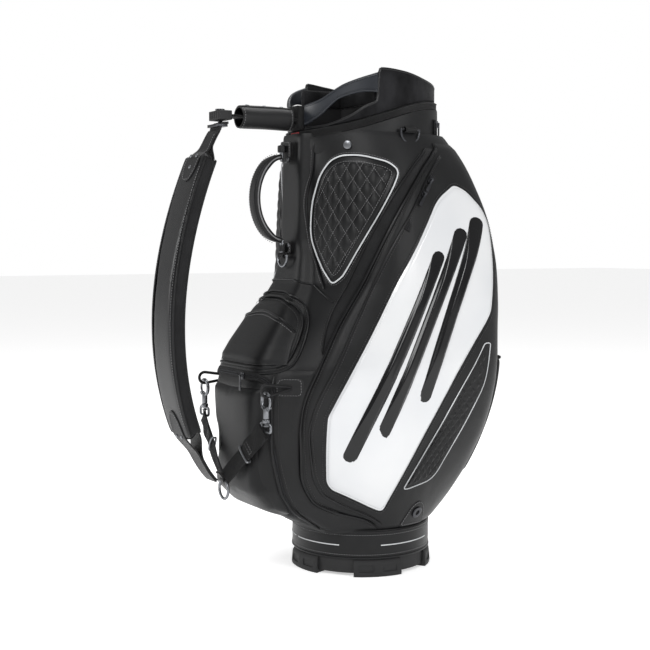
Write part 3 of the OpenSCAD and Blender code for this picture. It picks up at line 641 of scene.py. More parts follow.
# %% Outlines
def curve(table):
    """Smooth angle at a height through (percent, angle) marks, with no overshoot."""
    xs = [row[0] for row in table]
    ys = [row[1] for row in table]
    slopes = [(y1 - y0) / (x1 - x0) for x0, x1, y0, y1 in zip(xs, xs[1:], ys, ys[1:])]
    ways = [slopes[0]]
    for one, two in zip(slopes, slopes[1:]):
        ways.append(0 if one * two <= 0 else 2 * one * two / (one + two))
    ways.append(slopes[-1])

    def at(x):
        x = min(max(x, xs[0]), xs[-1])
        i = 0
        while i < len(xs) - 2 and x > xs[i + 1]:
            i += 1
        step = xs[i + 1] - xs[i]
        t = (x - xs[i]) / step
        return (
            (1 + 2 * t) * (1 - t) ** 2 * ys[i]
            + t * (1 - t) ** 2 * step * ways[i]
            + t * t * (3 - 2 * t) * ys[i + 1]
            + t * t * (t - 1) * step * ways[i + 1]
        )

    return at


BALL_TAB = [(0, 30), (3, 27), (12, 22.5), (24, 20.5), (42, 21)]
POCKET_TAB = [
    (0, 72), (3, 60), (5, 41), (9, 31), (16, 28), (26, 29), (32, 31), (42, 38),
    (53, 46), (64, 59), (74, 70), (84, 83), (91, 96), (97, 112),
]
INNER_TAB = [
    (1, 76), (4, 63), (7, 46), (10.5, 35), (16, 32), (25, 32.5), (31, 35.5), (43, 46),
    (53.5, 54.5), (69, 70.5), (83.5, 90), (91, 103), (96, 116),
]
WHITE_EDGE = [
    (70, 5.6), (64, 6.6), (40, 11.6), (38, 13.5), (42, 30.5), (43.5, 32), (55.5, 44), (77, 64),
    (104, 84), (117, 87.6), (120, 87.6), (125, 86.5), (135, 80.5), (130, 55.5), (127, 52.5), (73, 5.6),
]
QUILT_EDGE = [
    (39, 63.5), (29, 68), (21, 74), (20, 77), (21, 83), (28, 90), (36, 93.5), (44, 94.7),
    (57, 94.7), (74, 93), (80, 91), (77, 88), (68, 81), (57, 73), (46, 65), (41, 63.5),
]
LOW_EDGE = [
    (86, 11), (106, 27), (122, 42), (127, 47.5), (130, 47.5), (128, 37), (120, 25.5), (109, 12.8),
    (90, 11),
]
MESH_EDGE = [(139, 13), (139, 44), (158, 44), (158, 13)]
ball_edge, pocket_edge, inner_edge = curve(BALL_TAB), curve(POCKET_TAB), curve(INNER_TAB)
print("pocket edge at mid height:", round(pocket_edge(50), 1), "degrees")

# %% [markdown]
# ## Flat pattern tools
# Panels are drawn flat and then laid on the body. A pattern outline can be grown or shrunk by a seam
# width, tested for points inside it, and turned into cords and rows of stitches.

# %% Flat pattern tools
def grown(edge, by):
    """The closed outline moved outwards by a distance, or inwards where it is negative."""
    count = len(edge)
    area = sum(a.x * b.y - b.x * a.y for a, b in zip(edge, edge[1:] + edge[:1]))
    sign = 1 if area > 0 else -1
    moved = []
    for i, here in enumerate(edge):
        way = (edge[(i + 1) % count] - edge[i - 1]).normalized()
        point = here + Vector((way.y, -way.x)) * sign * by
        if min((point - other).length for other in edge) > abs(by) * 0.97:
            moved.append(point)
    return even(moved, count)


def inside(point, edge):
    odd = False
    for a, b in zip(edge, edge[1:] + edge[:1]):
        if (
            a.y > point.y
        ) != (b.y > point.y) and point.x < (b.x - a.x) * (point.y - a.y) / (b.y - a.y) + a.x:
            odd = not odd
    return odd


def flat_row(first, p0, p1, count=60, shift=0.0):
    """An edge given by height as a line on the flat pattern."""
    return [
        Vector((arc_x(first(p) + shift), height(p)))
        for p in [p0 + (p1 - p0) * i / (count - 1) for i in range(count)]
    ]


def laid(flat, lift):
    """A flat line laid on the body, with the outward direction at each of its points."""
    points = [on_body(point, lift) for point in flat]
    ups = [out_of(math.degrees(point.x / 0.165), percent(point.y)) for point in flat]
    return points, ups


def cord_on_body(flat, radius, lift, closed=False, sides=8):
    points, ups = laid(flat, lift)
    return cord(points, radius, sides, closed, 1.0, ups)


def stitch_rows(name, rows, length=0.0032, thick=0.00055, gap=0.0014):
    """One piece with a stitch at each step along rows of (points, ups)."""
    bpy.ops.object.select_all(action="DESELECT")
    bpy.ops.mesh.primitive_uv_sphere_add(segments=6, ring_count=4, radius=1)
    bead = bpy.context.object
    bead.data.transform(Matrix.Diagonal((length / 2, thick, thick, 1)))
    placements = []
    for points, ups in rows:
        total = sum((b - a).length for a, b in zip(points, points[1:]))
        count = max(int(total / (length + gap)), 1)
        spots = even(points, count + 1, closed=False)
        high = even(ups, len(ups), closed=False)
        for i in range(count):
            up = high[min(int(i * len(high) / count), len(high) - 1)]
            placements.append(frame_at((spots[i] + spots[i + 1]) / 2, spots[i + 1] - spots[i], up))
    return join_shapes(name, bead, placements)


def joined(name, pieces):
    """Several shapes as one piece."""
    bpy.ops.object.select_all(action="DESELECT")
    for piece in pieces:
        piece.select_set(True)
    bpy.context.view_layer.objects.active = pieces[0]
    bpy.ops.object.join()
    pieces[0].name = name
    return pieces[0]


def pucker(a, p, size=0.0012):
    """Slight uneven tension in a stretched cover."""
    return noise.noise(
        Vector((a * 0.045, p * 0.09, 3.1))
    ) * size + noise.noise(Vector((a * 0.16, p * 0.2, 8.4))) * size * 0.4


def both_sides(piece, name, finish, slot, body="bag", angle=40):
    """Finishes a piece as the right one, and mirrors it to the left."""
    finish_piece(piece, name + "_right", finish, body, slot, angle)
    return piece, mirrored(piece, name + "_left", body)


print("pattern tools ready")

# %% [markdown]
# ## Base
# The base is one rubber moulding: a cup with five chunky feet, each with two hollows. Those shapes are
# already right, so a merged copy gets small rounded edges, which catch the light, and the rubber finish.
# The wrap above it is coated fabric pulled round the cup, so it is swept as a soft band with stitch rows.

# %% Refined hard pieces
def refined(node, finish, slot, body="bag", round_off=0.0005, name=None):
    """A merged copy of a hard piece of the frame with its edges rounded."""
    source = nodes[node]
    piece = source.copy()
    piece.data = source.data.copy()
    piece.parent = None
    for key in [k for k in piece.keys() if k.startswith("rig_")]:
        del piece[key]
    bpy.context.collection.objects.link(piece)
    piece.matrix_world = Matrix.Identity(4)
    select_only(piece)
    bpy.ops.object.mode_set(mode="EDIT")
    bpy.ops.mesh.select_all(action="SELECT")
    bpy.ops.mesh.remove_doubles(threshold=0.000005)
    bpy.ops.object.mode_set(mode="OBJECT")
    if round_off:
        apply_modifier(
            piece, "BEVEL", width=round_off, segments=2, limit_method="ANGLE",
            angle_limit=math.radians(40),
        )
    finish_piece(piece, name or node + "_piece", finish, body, slot, 45)
    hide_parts(node)
    return piece


refined("base_cup", RUBBER, "base_rubber", round_off=0.001)
feet = refined("base_feet", RUBBER, "base_rubber", round_off=0.0012)
print("feet points:", len(feet.data.vertices))


# %% [markdown]
# ### Base wrap
# A band is a rounded section swept round the axis between a low and a high edge. The base wrap is coated
# fabric pulled over the cup: its wall bulges a little, a cord closes each edge, stitches run beside the
# cords, and a thin white line goes round it in short stretches.

# %% Swept bands round the bag
def band(a0, a1, low, high, inner, outer, cols, soft=0.5, rows=5, dome=0.0):
    """A rounded wall round the axis between two edge heights given by angle, in metres."""
    closed = a1 - a0 >= 360
    section = []
    for i in range(rows + 1):
        section.append((0.0, i / rows))
    for i in range(1, 6):
        section.append((i / 6, 1.0))
    for i in range(rows + 1):
        section.append((1.0, 1 - i / rows))
    for i in range(1, 6):
        section.append((1 - i / 6, 0.0))
    count = len(section)

    def place(u, v):
        a = a0 + (a1 - a0) * v
        depth, rise = section[round(u * count) % count]
        bottom, top = low(a), high(a)
        half = (outer - inner) / 2
        squash = half * soft
        arc = 1 - math.sqrt(max(1 - (2 * depth - 1) ** 2, 0))
        z = bottom + (top - bottom) * rise
        if rise == 1.0:
            z -= arc * squash
        elif rise == 0.0:
            z += arc * squash
        r = inner + (outer - inner) * depth + dome * math.sin(math.pi * rise) * depth
        if not closed and (v < 1e-6 or v > 1 - 1e-6):
            r = (inner + outer) / 2
        return around(r, a, z)

    piece = new_grid(count, cols, place)
    mend(piece)
    return piece


def ring_row(radius, z, a0=0, a1=360, count=180):
    """A level line round the axis with outward directions."""
    points, ups = [], []
    for i in range(count + 1):
        angle = math.radians(a0 + (a1 - a0) * i / count)
        out = Vector((math.sin(angle), -math.cos(angle), 0))
        points.append(out * radius + Vector((0, 0, z)))
        ups.append(out)
    return points, ups


wrap_low, wrap_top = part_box("base_band")[0][2], BASE_TOP
base_wrap = band(0, 360, lambda a: wrap_low, lambda a: wrap_top, 0.124, 0.1268, 144, 0.9, 8, 0.0007)
finish_piece(base_wrap, "base_wrap", PU, "bag", "pu_black")
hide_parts("base_band")
wrap_seams = joined("wrap_seams", [
    cord(ring_row(0.1268, wrap_top - 0.0035)[0][:-1], 0.0013, 6, True),
    cord(ring_row(0.1270, wrap_low + 0.0035)[0][:-1], 0.0016, 6, True),
])
finish_piece(wrap_seams, "wrap_seams", PU_SMOOTH, "bag", "pu_black")
wrap_stitches = stitch_rows(
    "wrap_stitches", [ring_row(0.1274, wrap_top - 0.009), ring_row(0.1274, wrap_low + 0.009)],
)
finish_piece(wrap_stitches, "wrap_stitches", GREY_THREAD, "bag", "pu_black")
wrap_line = joined("wrap_line", [
    band(a0, a1, lambda a: 0.0555, lambda a: 0.0573, 0.1268, 0.1282, 24, 0.4, 2)
    for a0, a1 in ((-6, 40), (74, 126), (160, 206), (240, 290), (316, 350))
])
finish_piece(wrap_line, "wrap_line", WHITE_CORD, "bag", "pu_white")
print("base wrap from", round(wrap_low, 3), "to", round(wrap_top, 3))

# %% [markdown]
# ## Main covers
# Under everything lies one closed skin, a little inside the surface, so no gap shows between panels. The
# side pockets, the gussets beside the ball pocket, the back and the diagonal stretch strips are sheets
# over it. Their edges roll down into the seams, and a little noise keeps the covers from looking rigid.

# %% Main covers
def seam_lift(first, last, p0, p1, top=0.0, width=5.0):
    """Lift that rolls a cover down at its four edges; width is in degrees or percent."""

    def lift(a, p):
        side = min(ease(a, first(p), first(p) + width), ease(-a, -last(p), -last(p) + width))
        end = min(ease(p, p0, p0 + width * 0.35), ease(-p, -p1, -p1 + width * 0.35))
        return -0.0022 + (0.0022 + top) * min(side, end) + pucker(a, p)

    return lift


def fixed(a):
    return lambda p: a


underskin = new_grid(200, 150, lambda u, v: spot(-180 + 360 * u, -0.6 + 101.4 * v, -0.0035))
mend(underskin)
apply_modifier(underskin, "SOLIDIFY", thickness=0.0015, offset=-1)
finish_piece(underskin, "underskin", PU, "bag", "pu_black")
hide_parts("neck_sheath_left", "neck_sheath_right", "spine_panel", "yoke")

side_cover = sheet_on_body(
    lambda p: pocket_edge(p) + 0.4, fixed(149.6), 0.2, 98.5, 90, 170,
    seam_lift(lambda p: pocket_edge(p) + 0.4, fixed(149.6), 0.2, 98.5, 0.0006, 3.5),
)
for piece in both_sides(side_cover, "side_cover", PU, "pu_black"):
    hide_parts("side_pocket_" + piece.name.split("_")[-1])

gusset = sheet_on_body(
    lambda p: ball_edge(p) + 0.8, lambda p: pocket_edge(p) - 0.4, 0.2, 42, 16, 60,
    seam_lift(lambda p: ball_edge(p) + 0.8, lambda p: pocket_edge(p) - 0.4, 0.2, 42, 0.0, 2.0),
)
gusset_pair = both_sides(gusset, "front_gusset", PU, "pu_black")
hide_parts("front_gussets")

back_cover = sheet_on_body(
    fixed(150.4), fixed(209.6), 0.2, 98.5, 40, 90, seam_lift(
        fixed(150.4), fixed(209.6), 0.2, 98.5, 0.0006, 4,
    ),
)
finish_piece(back_cover, "back_cover", PU, "bag", "pu_black")
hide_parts("back_panel")
print("covers:", side_cover.name, gusset.name, back_cover.name)

# %% [markdown]
# ### Stretch strips and piping
# Between the neck and each side pocket runs a strip of stretch knit that lets the pocket give. Two black
# cords of piping frame the pocket's edge. Piping is fabric sewn round a cord, so it is swept as a round
# bead that sinks a third of its depth into the seam.

# %% Stretch strips and piping
def strip_edge(p):
    return pocket_edge(p) - 8.5 * ease(p, 40, 60)


stretch_strip = sheet_on_body(
    strip_edge, lambda p: pocket_edge(p) - 0.8, 46, 97, 10, 80,
    seam_lift(strip_edge, lambda p: pocket_edge(p) - 0.8, 46, 97, -0.0002, 2.0),
)
both_sides(stretch_strip, "stretch_strip", KNIT, "stretch_fabric")

piping = joined("pocket_cords", [
    cord_on_body(flat_row(pocket_edge, 0.8, 98, 120), 0.0021, 0.0012),
    cord_on_body(flat_row(inner_edge, 1.2, 95.5, 120), 0.0021, 0.0014),
    cord_on_body(flat_row(fixed(150), 0.4, 98, 80), 0.0019, 0.0008),
    cord_on_body(flat_row(strip_edge, 46, 97, 70), 0.0016, -0.0002),
    cord_on_body(flat_row(lambda p: ball_edge(p) + 0.4, 0.4, 41, 60), 0.0022, 0.0012),
])
piping_pair = both_sides(piping, "pocket_cords", PU_SMOOTH, "pu_black")
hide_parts("pocket_piping")

seam_rows = [
    laid(flat_row(pocket_edge, 2, 97, 150, 1.6), 0.0012),
    laid(flat_row(inner_edge, 3, 95, 150, 1.6), 0.0012),
]
seam_rows += [
    laid(flat_row(strip_edge, 48, 96, 90, -1.3), -0.0012),
    laid(flat_row(fixed(148.4), 2, 97, 100), 0.0012),
]
seam_rows.append(laid(flat_row(lambda p: ball_edge(p) + 2.0, 2, 40, 70), -0.0002))
both_sides(stitch_rows("seam_stitches", seam_rows), "seam_stitches", BLACK_THREAD, "pu_black")
print("piping points:", len(piping.data.vertices))

# %% [markdown]
# ## Quilted neck panels
# Each neck panel is foam-backed fabric sewn in diamonds inside a plain border, with white piping round
# it. A bump map would vanish at the outline of the panel, so the diamonds are real: the panel's points
# rise as a pillow between valleys, and a grey thread is sewn along every valley.

# %% Quilting
def diamond_marks(point, wide, tall):
    s = point.x / wide + point.y / tall
    t = point.x / wide - point.y / tall
    return s, t


def pillow(point, wide, tall, sharp=0.5):
    s, t = diamond_marks(point, wide, tall)
    return (abs(math.sin(math.pi * s)) * abs(math.sin(math.pi * t))) ** sharp


def diamond_rows(edge, wide, tall, lift):
    """The valleys between the diamonds, cut off at the edge, as rows for stitches."""
    xs, ys = [p.x for p in edge], [p.y for p in edge]
    rows = []
    for slant in (1, -1):
        marks = [x / wide + slant * y / tall for x in (min(xs), max(xs)) for y in (min(ys), max(ys))]
        for k in range(math.ceil(min(marks)), math.floor(max(marks)) + 1):
            run = []
            for i in range(400):
                y = min(ys) + (max(ys) - min(ys)) * i / 399
                point = Vector(((k - slant * y / tall) * wide, y))
                if inside(point, edge):
                    run.append(point)
            if len(run) > 6:
                rows.append(laid(run, lift))
    return rows


def rolled(share, start, height_in, depth):
    """Flat in the middle, rolling down to the edge."""
    return height_in - depth * ease(share, start, 1.0) ** 2


quilt_edge = even(rounded(QUILT_EDGE, 0.03), 260)
quilt_in = grown(quilt_edge, -0.011)
quilt_border = panel_on_body(quilt_edge, 8, lambda point, share: rolled(share, 0.9, 0.0008, 0.003))
both_sides(quilt_border, "quilt_border", PU_SMOOTH, "pu_quilted")
quilt = panel_on_body(
    quilt_in, 70,
    lambda point, share: 0.0006 + 0.0034 * pillow(point, 0.025, 0.037) * (1 - ease(share, 0.96, 1.0)),
)
both_sides(quilt, "neck_quilt", PU, "pu_quilted", angle=60)
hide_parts("quilt_panels")
quilt_threads = stitch_rows(
    "quilt_threads", diamond_rows(quilt_in, 0.025, 0.037, 0.0013), 0.003, 0.0005, 0.001,
)
both_sides(quilt_threads, "quilt_threads", GREY_THREAD, "pu_quilted")
quilt_piping = joined("quilt_piping", [cord_on_body(grown(quilt_edge, 0.0012), 0.0014, 0.0006, True)])
both_sides(quilt_piping, "quilt_piping", WHITE_CORD, "pu_white")
border_rows = [
    laid(edge + [edge[0]], lift)
    for edge, lift in ((grown(quilt_edge, -0.0095), 0.0017), (grown(quilt_edge, 0.0055), -0.002))
]
both_sides(
    stitch_rows("quilt_border_threads", border_rows), "quilt_border_threads", GREY_THREAD, "pu_quilted",
)
print("quilt points:", len(quilt.data.vertices))

# %% [markdown]
# ## White side panels
# The big panel is white patent over thin foam: nearly flat, with rolled edges and rounded corners, sewn
# inside a black border. Its decoration is our own: three plain slanting bars of raised black rubber with
# soft edges, and no lettering.

# %% White side panels
white_edge = even(rounded(WHITE_EDGE, 0.03), 300)
white_border = panel_on_body(
    grown(white_edge, 0.007), 8, lambda point, share: rolled(share, 0.93, 0.0016, 0.003),
)
both_sides(white_border, "white_border", PU_SMOOTH, "pu_black")
white_panel = panel_on_body(
    white_edge, 46,
    lambda point, share: rolled(share, 0.93, 0.0042, 0.0028) + pucker(point.x * 300, point.y * 120, 0.0006),
)
white_pair = both_sides(white_panel, "white_panel", PATENT, "pu_white", angle=60)
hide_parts("white_panels")
edge_rows = [
    laid(edge + [edge[0]], lift)
    for edge, lift in ((grown(white_edge, -0.0035), 0.0036), (grown(white_edge, 0.0046), 0.0019))
]
both_sides(stitch_rows("white_edge_threads", edge_rows[:1]), "white_edge_threads", WHITE_CORD, "pu_white")
both_sides(
    stitch_rows("white_border_threads", edge_rows[1:]), "white_border_threads", BLACK_THREAD, "pu_black",
)


def slanted_bar(start, end, wide):
    """A raised bar with round ends between two points of the flat pattern."""
    way = (end - start).normalized()
    side = Vector((-way.y, way.x)) * wide / 2
    edge = []
    for k in range(13):
        turn = math.pi * (k / 12 - 0.5)
        edge.append(end + side * math.sin(turn) + way * math.cos(turn) * wide / 2)
    for k in range(13):
        turn = math.pi * (k / 12 + 0.5)
        edge.append(start + side * math.sin(turn) + way * math.cos(turn) * wide / 2)
    return panel_on_body(
        even(edge, 120), 10, lambda point, share: 0.0042 + 0.0052 * (1 - ease(share, 0.45, 1.0)),
    )


def on_white(across, along):
    """A point of the white panel, by shares of its width and height."""
    p = 12 + 72 * along
    front = curve([(5.6, 62), (11.6, 40), (30.5, 42), (44, 55.5), (64, 77), (84, 104)])(p)
    rear = curve([(5.6, 73), (52.5, 127), (80.5, 135), (87.6, 120)])(p)
    return Vector((arc_x(front + (rear - front) * across), height(p)))


bars = joined("white_bars", [
    slanted_bar(on_white(0.22, 0.12), on_white(0.34, 0.80), 0.022),
    slanted_bar(on_white(0.47, 0.20), on_white(0.55, 0.88), 0.022),
    slanted_bar(on_white(0.72, 0.32), on_white(0.76, 0.92), 0.022),
])
both_sides(bars, "white_bars", BLACK_GLOSS, "pu_black", angle=60)
print("white panel points:", len(white_panel.data.vertices))

# %% [markdown]
# ## Lower quilts and mesh pockets
# Behind the white panel sits a smaller panel pressed into low pyramids, edged by a thin white cord. On
# the rear corner is a flat pocket of open mesh with a bound top. The pyramids are real geometry again;
# the mesh is too fine for that, so its holes are a pattern in the finish.

# %% Lower quilts and mesh pockets
def pyramid(point, wide, tall):
    s, t = diamond_marks(point, wide, tall)
    return 1 - 2 * max(abs(s - math.floor(s) - 0.5), abs(t - math.floor(t) - 0.5))


low_edge = even(rounded(LOW_EDGE, 0.02), 220)
low_in = grown(low_edge, -0.005)
low_border = panel_on_body(
    grown(low_edge, 0.004), 6, lambda point, share: rolled(share, 0.9, 0.0008, 0.0026),
)
both_sides(low_border, "low_border", PU_SMOOTH, "pu_quilted")
low_quilt = panel_on_body(
    low_in, 60,
    lambda point, share: 0.0006 + 0.0030 * pyramid(point, 0.013, 0.020) * (1 - ease(share, 0.95, 1.0)),
)
low_pair = both_sides(low_quilt, "low_quilt", PU, "pu_quilted", angle=25)
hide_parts("lower_quilts")
both_sides(cord_on_body(low_edge, 0.0010, 0.0012, True), "low_piping", WHITE_CORD, "pu_white")

mesh_edge = even(rounded(MESH_EDGE, 0.012), 160)
mesh_pocket = panel_on_body(
    mesh_edge, 24,
    lambda point, share: rolled(share, 0.9, 0.0035, 0.0035) + 0.003 * ease(percent(point.y), 20, 44),
)
mesh_pair = both_sides(mesh_pocket, "mesh_pocket", KNIT, "stretch_fabric")
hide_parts("mesh_pockets")
mesh_hem = joined("mesh_hem", [
    cord_on_body(mesh_edge, 0.0018, 0.001, True),
    cord_on_body([Vector((arc_x(139.5 + 18 * i / 20), height(43.2))) for i in range(21)], 0.0035, 0.0058),
])
both_sides(mesh_hem, "mesh_hem", TAPE, "stretch_fabric")
print("lower quilt points:", len(low_quilt.data.vertices))

# %% [markdown]
# ## Padded pockets
# The ball pocket and the small pocket above it are foam-backed covers. A padded cover swells between its
# seams in a way that is hard to draw, so it is simulated: a slab is remeshed evenly, blown up a little as
# cloth with no gravity, and the movement is capped so that it stays in its own space.

# %% Cloth simulation
def puffed(piece, voxel=0.005, pressure=4.0, cap=0.006, smooth=1):
    """Swells a closed shape as cloth, and bakes the result."""
    select_only(piece)
    piece.data.remesh_voxel_size = voxel
    bpy.ops.object.voxel_remesh()
    before = [vertex.co.copy() for vertex in piece.data.vertices]
    cloth = piece.modifiers.new("cloth", "CLOTH")
    cloth.settings.use_pressure = True
    cloth.settings.uniform_pressure_force = pressure
    cloth.settings.tension_stiffness = 18
    cloth.settings.bending_stiffness = 1.2
    cloth.settings.effector_weights.gravity = 0
    cloth.point_cache.frame_start = 1
    cloth.point_cache.frame_end = 20
    for step in range(1, 21):
        bpy.context.scene.frame_set(step)
    select_only(piece)
    bpy.ops.object.modifier_apply(modifier="cloth")
    bpy.context.scene.frame_set(1)
    for vertex, start in zip(piece.data.vertices, before):
        move = vertex.co - start
        if move.length > cap:
            vertex.co = start + move.normalized() * cap
    apply_modifier(piece, "SMOOTH", factor=0.5, iterations=3)
    apply_modifier(piece, "SUBSURF", levels=smooth, render_levels=smooth)
    return piece


def padded_slab(first, last, p0, p1, cols, rows, inner, outer, name):
    """A closed slab on the body between two edges, thin at its rim."""

    def lifts(u, v):
        rim = min(ease(u, 0, 0.10), ease(1 - u, 0, 0.10), ease(v, 0, 0.07), ease(1 - v, 0, 0.07))
        return inner + 0.002, inner + 0.002 + (outer - inner - 0.002) * rim

    def place(u, v, side):
        p = p0 + (p1 - p0) * v
        a = first(p) + (last(p) - first(p)) * u
        return spot(a, p, lifts(u, v)[side])

    faces_out = new_grid(cols, rows, lambda u, v: place(u, v, 1))
    faces_in = new_grid(cols, rows, lambda u, v: place(u, v, 0))
    slab = joined(name, [faces_out, faces_in])
    mend(slab, 0.00001)
    select_only(slab)
    bpy.ops.object.mode_set(mode="EDIT")
    bpy.ops.mesh.select_all(action="DESELECT")
    bpy.ops.mesh.select_mode(type="EDGE")
    bpy.ops.mesh.select_non_manifold()
    bpy.ops.mesh.bridge_edge_loops()
    bpy.ops.mesh.select_all(action="SELECT")
    bpy.ops.mesh.normals_make_consistent(inside=False)
    bpy.ops.object.mode_set(mode="OBJECT")
    return slab


BALL_TOP = 39.6
ball_pocket = padded_slab(
    lambda p: -ball_edge(p), ball_edge, 0.6, BALL_TOP, 48, 60, -0.016, 0.0005, "ball_pocket_cover",
)
puffed(ball_pocket, 0.0055, 4.0, 0.005)
finish_piece(ball_pocket, "ball_pocket_cover", PU, "bag", "pu_black", 60)
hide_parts("ball_pocket")

ball_lid = sheet_on_body(
    lambda p: -ball_edge(
        min(p, 42)
    ) - 0.2, lambda p: ball_edge(min(p, 42)) + 0.2, BALL_TOP + 1.6, 44.5, 40, 12,
    lambda a, p: -0.0016 + 0.002 * ease(p, BALL_TOP + 1.4, BALL_TOP + 2.4) + pucker(a, p),
)
finish_piece(ball_lid, "ball_lid", PU, "bag", "pu_black")
print("ball pocket points:", len(ball_pocket.data.vertices))


# %% [markdown]
# ### Valuables pocket
# The small arched pocket above the ball pocket has a softer crown than its neighbour, two runs of piping
# round its arch and a slip opening with a curved, stitched rim. It is a panel on the body whose edge
# rolls under, with shallow puckers beside the seams.

# %% Valuables pocket
ARCH_EDGE = [
    (-23, 42.8), (-26, 48), (-26, 54), (-19, 58), (-9, 59.5), (9, 59.5), (19, 58), (26, 54), (26, 48),
    (23, 42.8),
]
arch = even(rounded(ARCH_EDGE, 0.02), 220)
valuables = panel_on_body(
    arch, 30,
    lambda point, share: rolled(share, 0.72, 0.0045, 0.0065) + pucker(point.x * 300, point.y * 130, 0.001),
)
finish_piece(valuables, "valuables_cover", PU, "bag", "pu_black")
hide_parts("valuables_pocket")
SLIP_RIM = curve([(-26, 50.2), (-16, 54.6), (0, 56), (16, 54.6), (26, 50.2)])


def slip_place(u, v):
    a = -24.5 + 49 * u
    p = 43.4 + (SLIP_RIM(a) - 43.4) * v
    rim = min(ease(u, 0, 0.12), ease(1 - u, 0, 0.12))
    return spot(a, p, 0.0035 + 0.0042 * rim * ease(v, 0, 0.15))


slip = new_grid(50, 34, slip_place)
apply_modifier(slip, "SOLIDIFY", thickness=0.002, offset=-1)
finish_piece(slip, "slip_pocket", PU, "bag", "pu_black")
slip_rim = cord([slip_place(i / 60, 1.0) for i in range(61)], 0.0024, 8)
finish_piece(slip_rim, "slip_rim", PU_SMOOTH, "bag", "pu_black")
arch_cords = joined("arch_cords", [
    cord_on_body(grown(arch, 0.0012), 0.0023, 0.0008, True),
    cord_on_body(grown(arch, 0.010), 0.0019, -0.0012, True),
])
finish_piece(arch_cords, "arch_cords", PU_SMOOTH, "bag", "pu_black")
arch_rows = [laid(grown(arch, -0.004), 0.0034), laid(grown(arch, 0.0065), -0.0012)]
finish_piece(stitch_rows("arch_stitches", arch_rows), "arch_stitches", BLACK_THREAD, "bag", "pu_black")
rim_points = [slip_place(0.03 + 0.94 * i / 60, 0.93) for i in range(61)]
rim_row = ([point + Vector((0, -0.0004, 0)) for point in rim_points], [Vector((0, -1, 0))] * 61)
finish_piece(stitch_rows("slip_stitches", [rim_row]), "slip_stitches", GREY_THREAD, "bag", "pu_black")
print("valuables pocket points:", len(valuables.data.vertices))

# %% [markdown]
# ## Zips
# A zip is a woven tape with two rows of nylon coil. The coil's turns are a millimetre and a half apart,
# so a row of small beads gives the right look, and the straight tapes of the frame get a weave. The ball
# pocket's zip arches over its top and runs down one side, as the real one does.

# %% Zips
def coil_rows(points, ups, apart=0.0017):
    """Two rows of coil beside a line."""
    rows = []
    for sign in (-1, 1):
        moved = []
        for i, point in enumerate(points):
            way = (points[min(i + 1, len(points) - 1)] - points[max(i - 1, 0)]).normalized()
            moved.append(point + way.cross(ups[i]).normalized() * sign * apart)
        rows.append((moved, ups))
    return rows


def tape_along(points, ups, wide, thick=0.001, dip=0.0):
    """A flat tape or web along a path; ups are the directions its face looks in."""
    last = len(points) - 1

    def place(u, v):
        i = round(v * last)
        way = (points[min(i + 1, last)] - points[max(i - 1, 0)]).normalized()
        side = way.cross(ups[i]).normalized()
        bow = dip * (1 - (2 * u - 1) ** 2)
        return points[i] + side * (u - 0.5) * wide + ups[i] * bow

    piece = new_grid(6, last, place)
    apply_modifier(piece, "SOLIDIFY", thickness=thick, offset=0)
    mend(piece, 0.000001)
    return piece


def joint_place(name):
    return Vector(next(joint for joint in frame["joints"] if joint["name"] == name)["pos_m"])


low_pull = joint_place("side_pull_low_right_swing")
high_pull = joint_place("side_pull_high_right_swing")
zip_way = (low_pull - high_pull).normalized()
zip_out = out_of(96, 86)
zip_out = (zip_out - zip_way * zip_out.dot(zip_way)).normalized()
zip_head = high_pull - zip_out * 0.0075 - zip_way * 0.012
side_zip = [zip_head + zip_way * 0.118 * i / 40 for i in range(41)]
side_tape = joined("side_zip_tape", [tape_along(side_zip, [zip_out] * 41, 0.014, 0.0016)])
tapes = both_sides(side_tape, "side_zip_tape", TAPE, "zip_tape")
coils = stitch_rows(
    "side_zip_coil", coil_rows([p + zip_out * 0.0012 for p in side_zip], [zip_out] * 41), 0.0016, 0.0007,
    0.0004,
)
both_sides(coils, "side_zip_coil", DARK_METAL, "zip_tape")

ball_zip = [
    (-24, BALL_TOP + 0.2), (-18, BALL_TOP + 0.9), (0, BALL_TOP + 1.0), (18, BALL_TOP + 0.9), (22, 38),
    (21, 34), (20.6, 26), (22.4, 16), (24, 9), (26, 4),
]
ball_line = even(rounded(ball_zip + [(0, 20)], 0.02)[7:-7], 200, closed=False)
ball_points, ball_ups = laid(ball_line, 0.0012)
ball_tape = tape_along(ball_points, ball_ups, 0.012, 0.0012)
finish_piece(ball_tape, "ball_zip_tape", TAPE, "bag", "zip_tape")
ball_coil = stitch_rows(
    "ball_zip_coil", coil_rows([p + u * 0.001 for p, u in zip(ball_points, ball_ups)], ball_ups), 0.0016,
    0.0007, 0.0004,
)
finish_piece(ball_coil, "ball_zip_coil", DARK_METAL, "bag", "zip_tape")
rear_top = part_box("rear_slider_right")[1][2]
rear_angle = math.radians(128)
rear_out = Vector((math.sin(rear_angle), -math.cos(rear_angle), 0))
rear_line = [rear_out * 0.1415 + Vector((0, 0, rear_top + 0.002 - 0.050 * i / 20)) for i in range(21)]
rear_tape = tape_along(rear_line, [rear_out] * 21, 0.014, 0.0016)
both_sides(rear_tape, "rear_zip_tape", TAPE, "zip_tape")
rear_coil = stitch_rows(
    "rear_zip_coil", coil_rows([p + rear_out * 0.0012 for p in rear_line], [rear_out] * 21), 0.0016,
    0.0007, 0.0004,
)
both_sides(rear_coil, "rear_zip_coil", DARK_METAL, "zip_tape")
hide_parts("zip_tapes")
print("ball zip length:", round(sum((b - a).length for a, b in zip(ball_points, ball_points[1:])), 3))

# %% [markdown]
# ## Cuff and dividers
# The cuff is a hard hoop covered in velvet and bound at its edge, with a woven trim below it and a smooth
# grab strip on each side of the strap. Each is a wall swept round the axis between two edge curves.

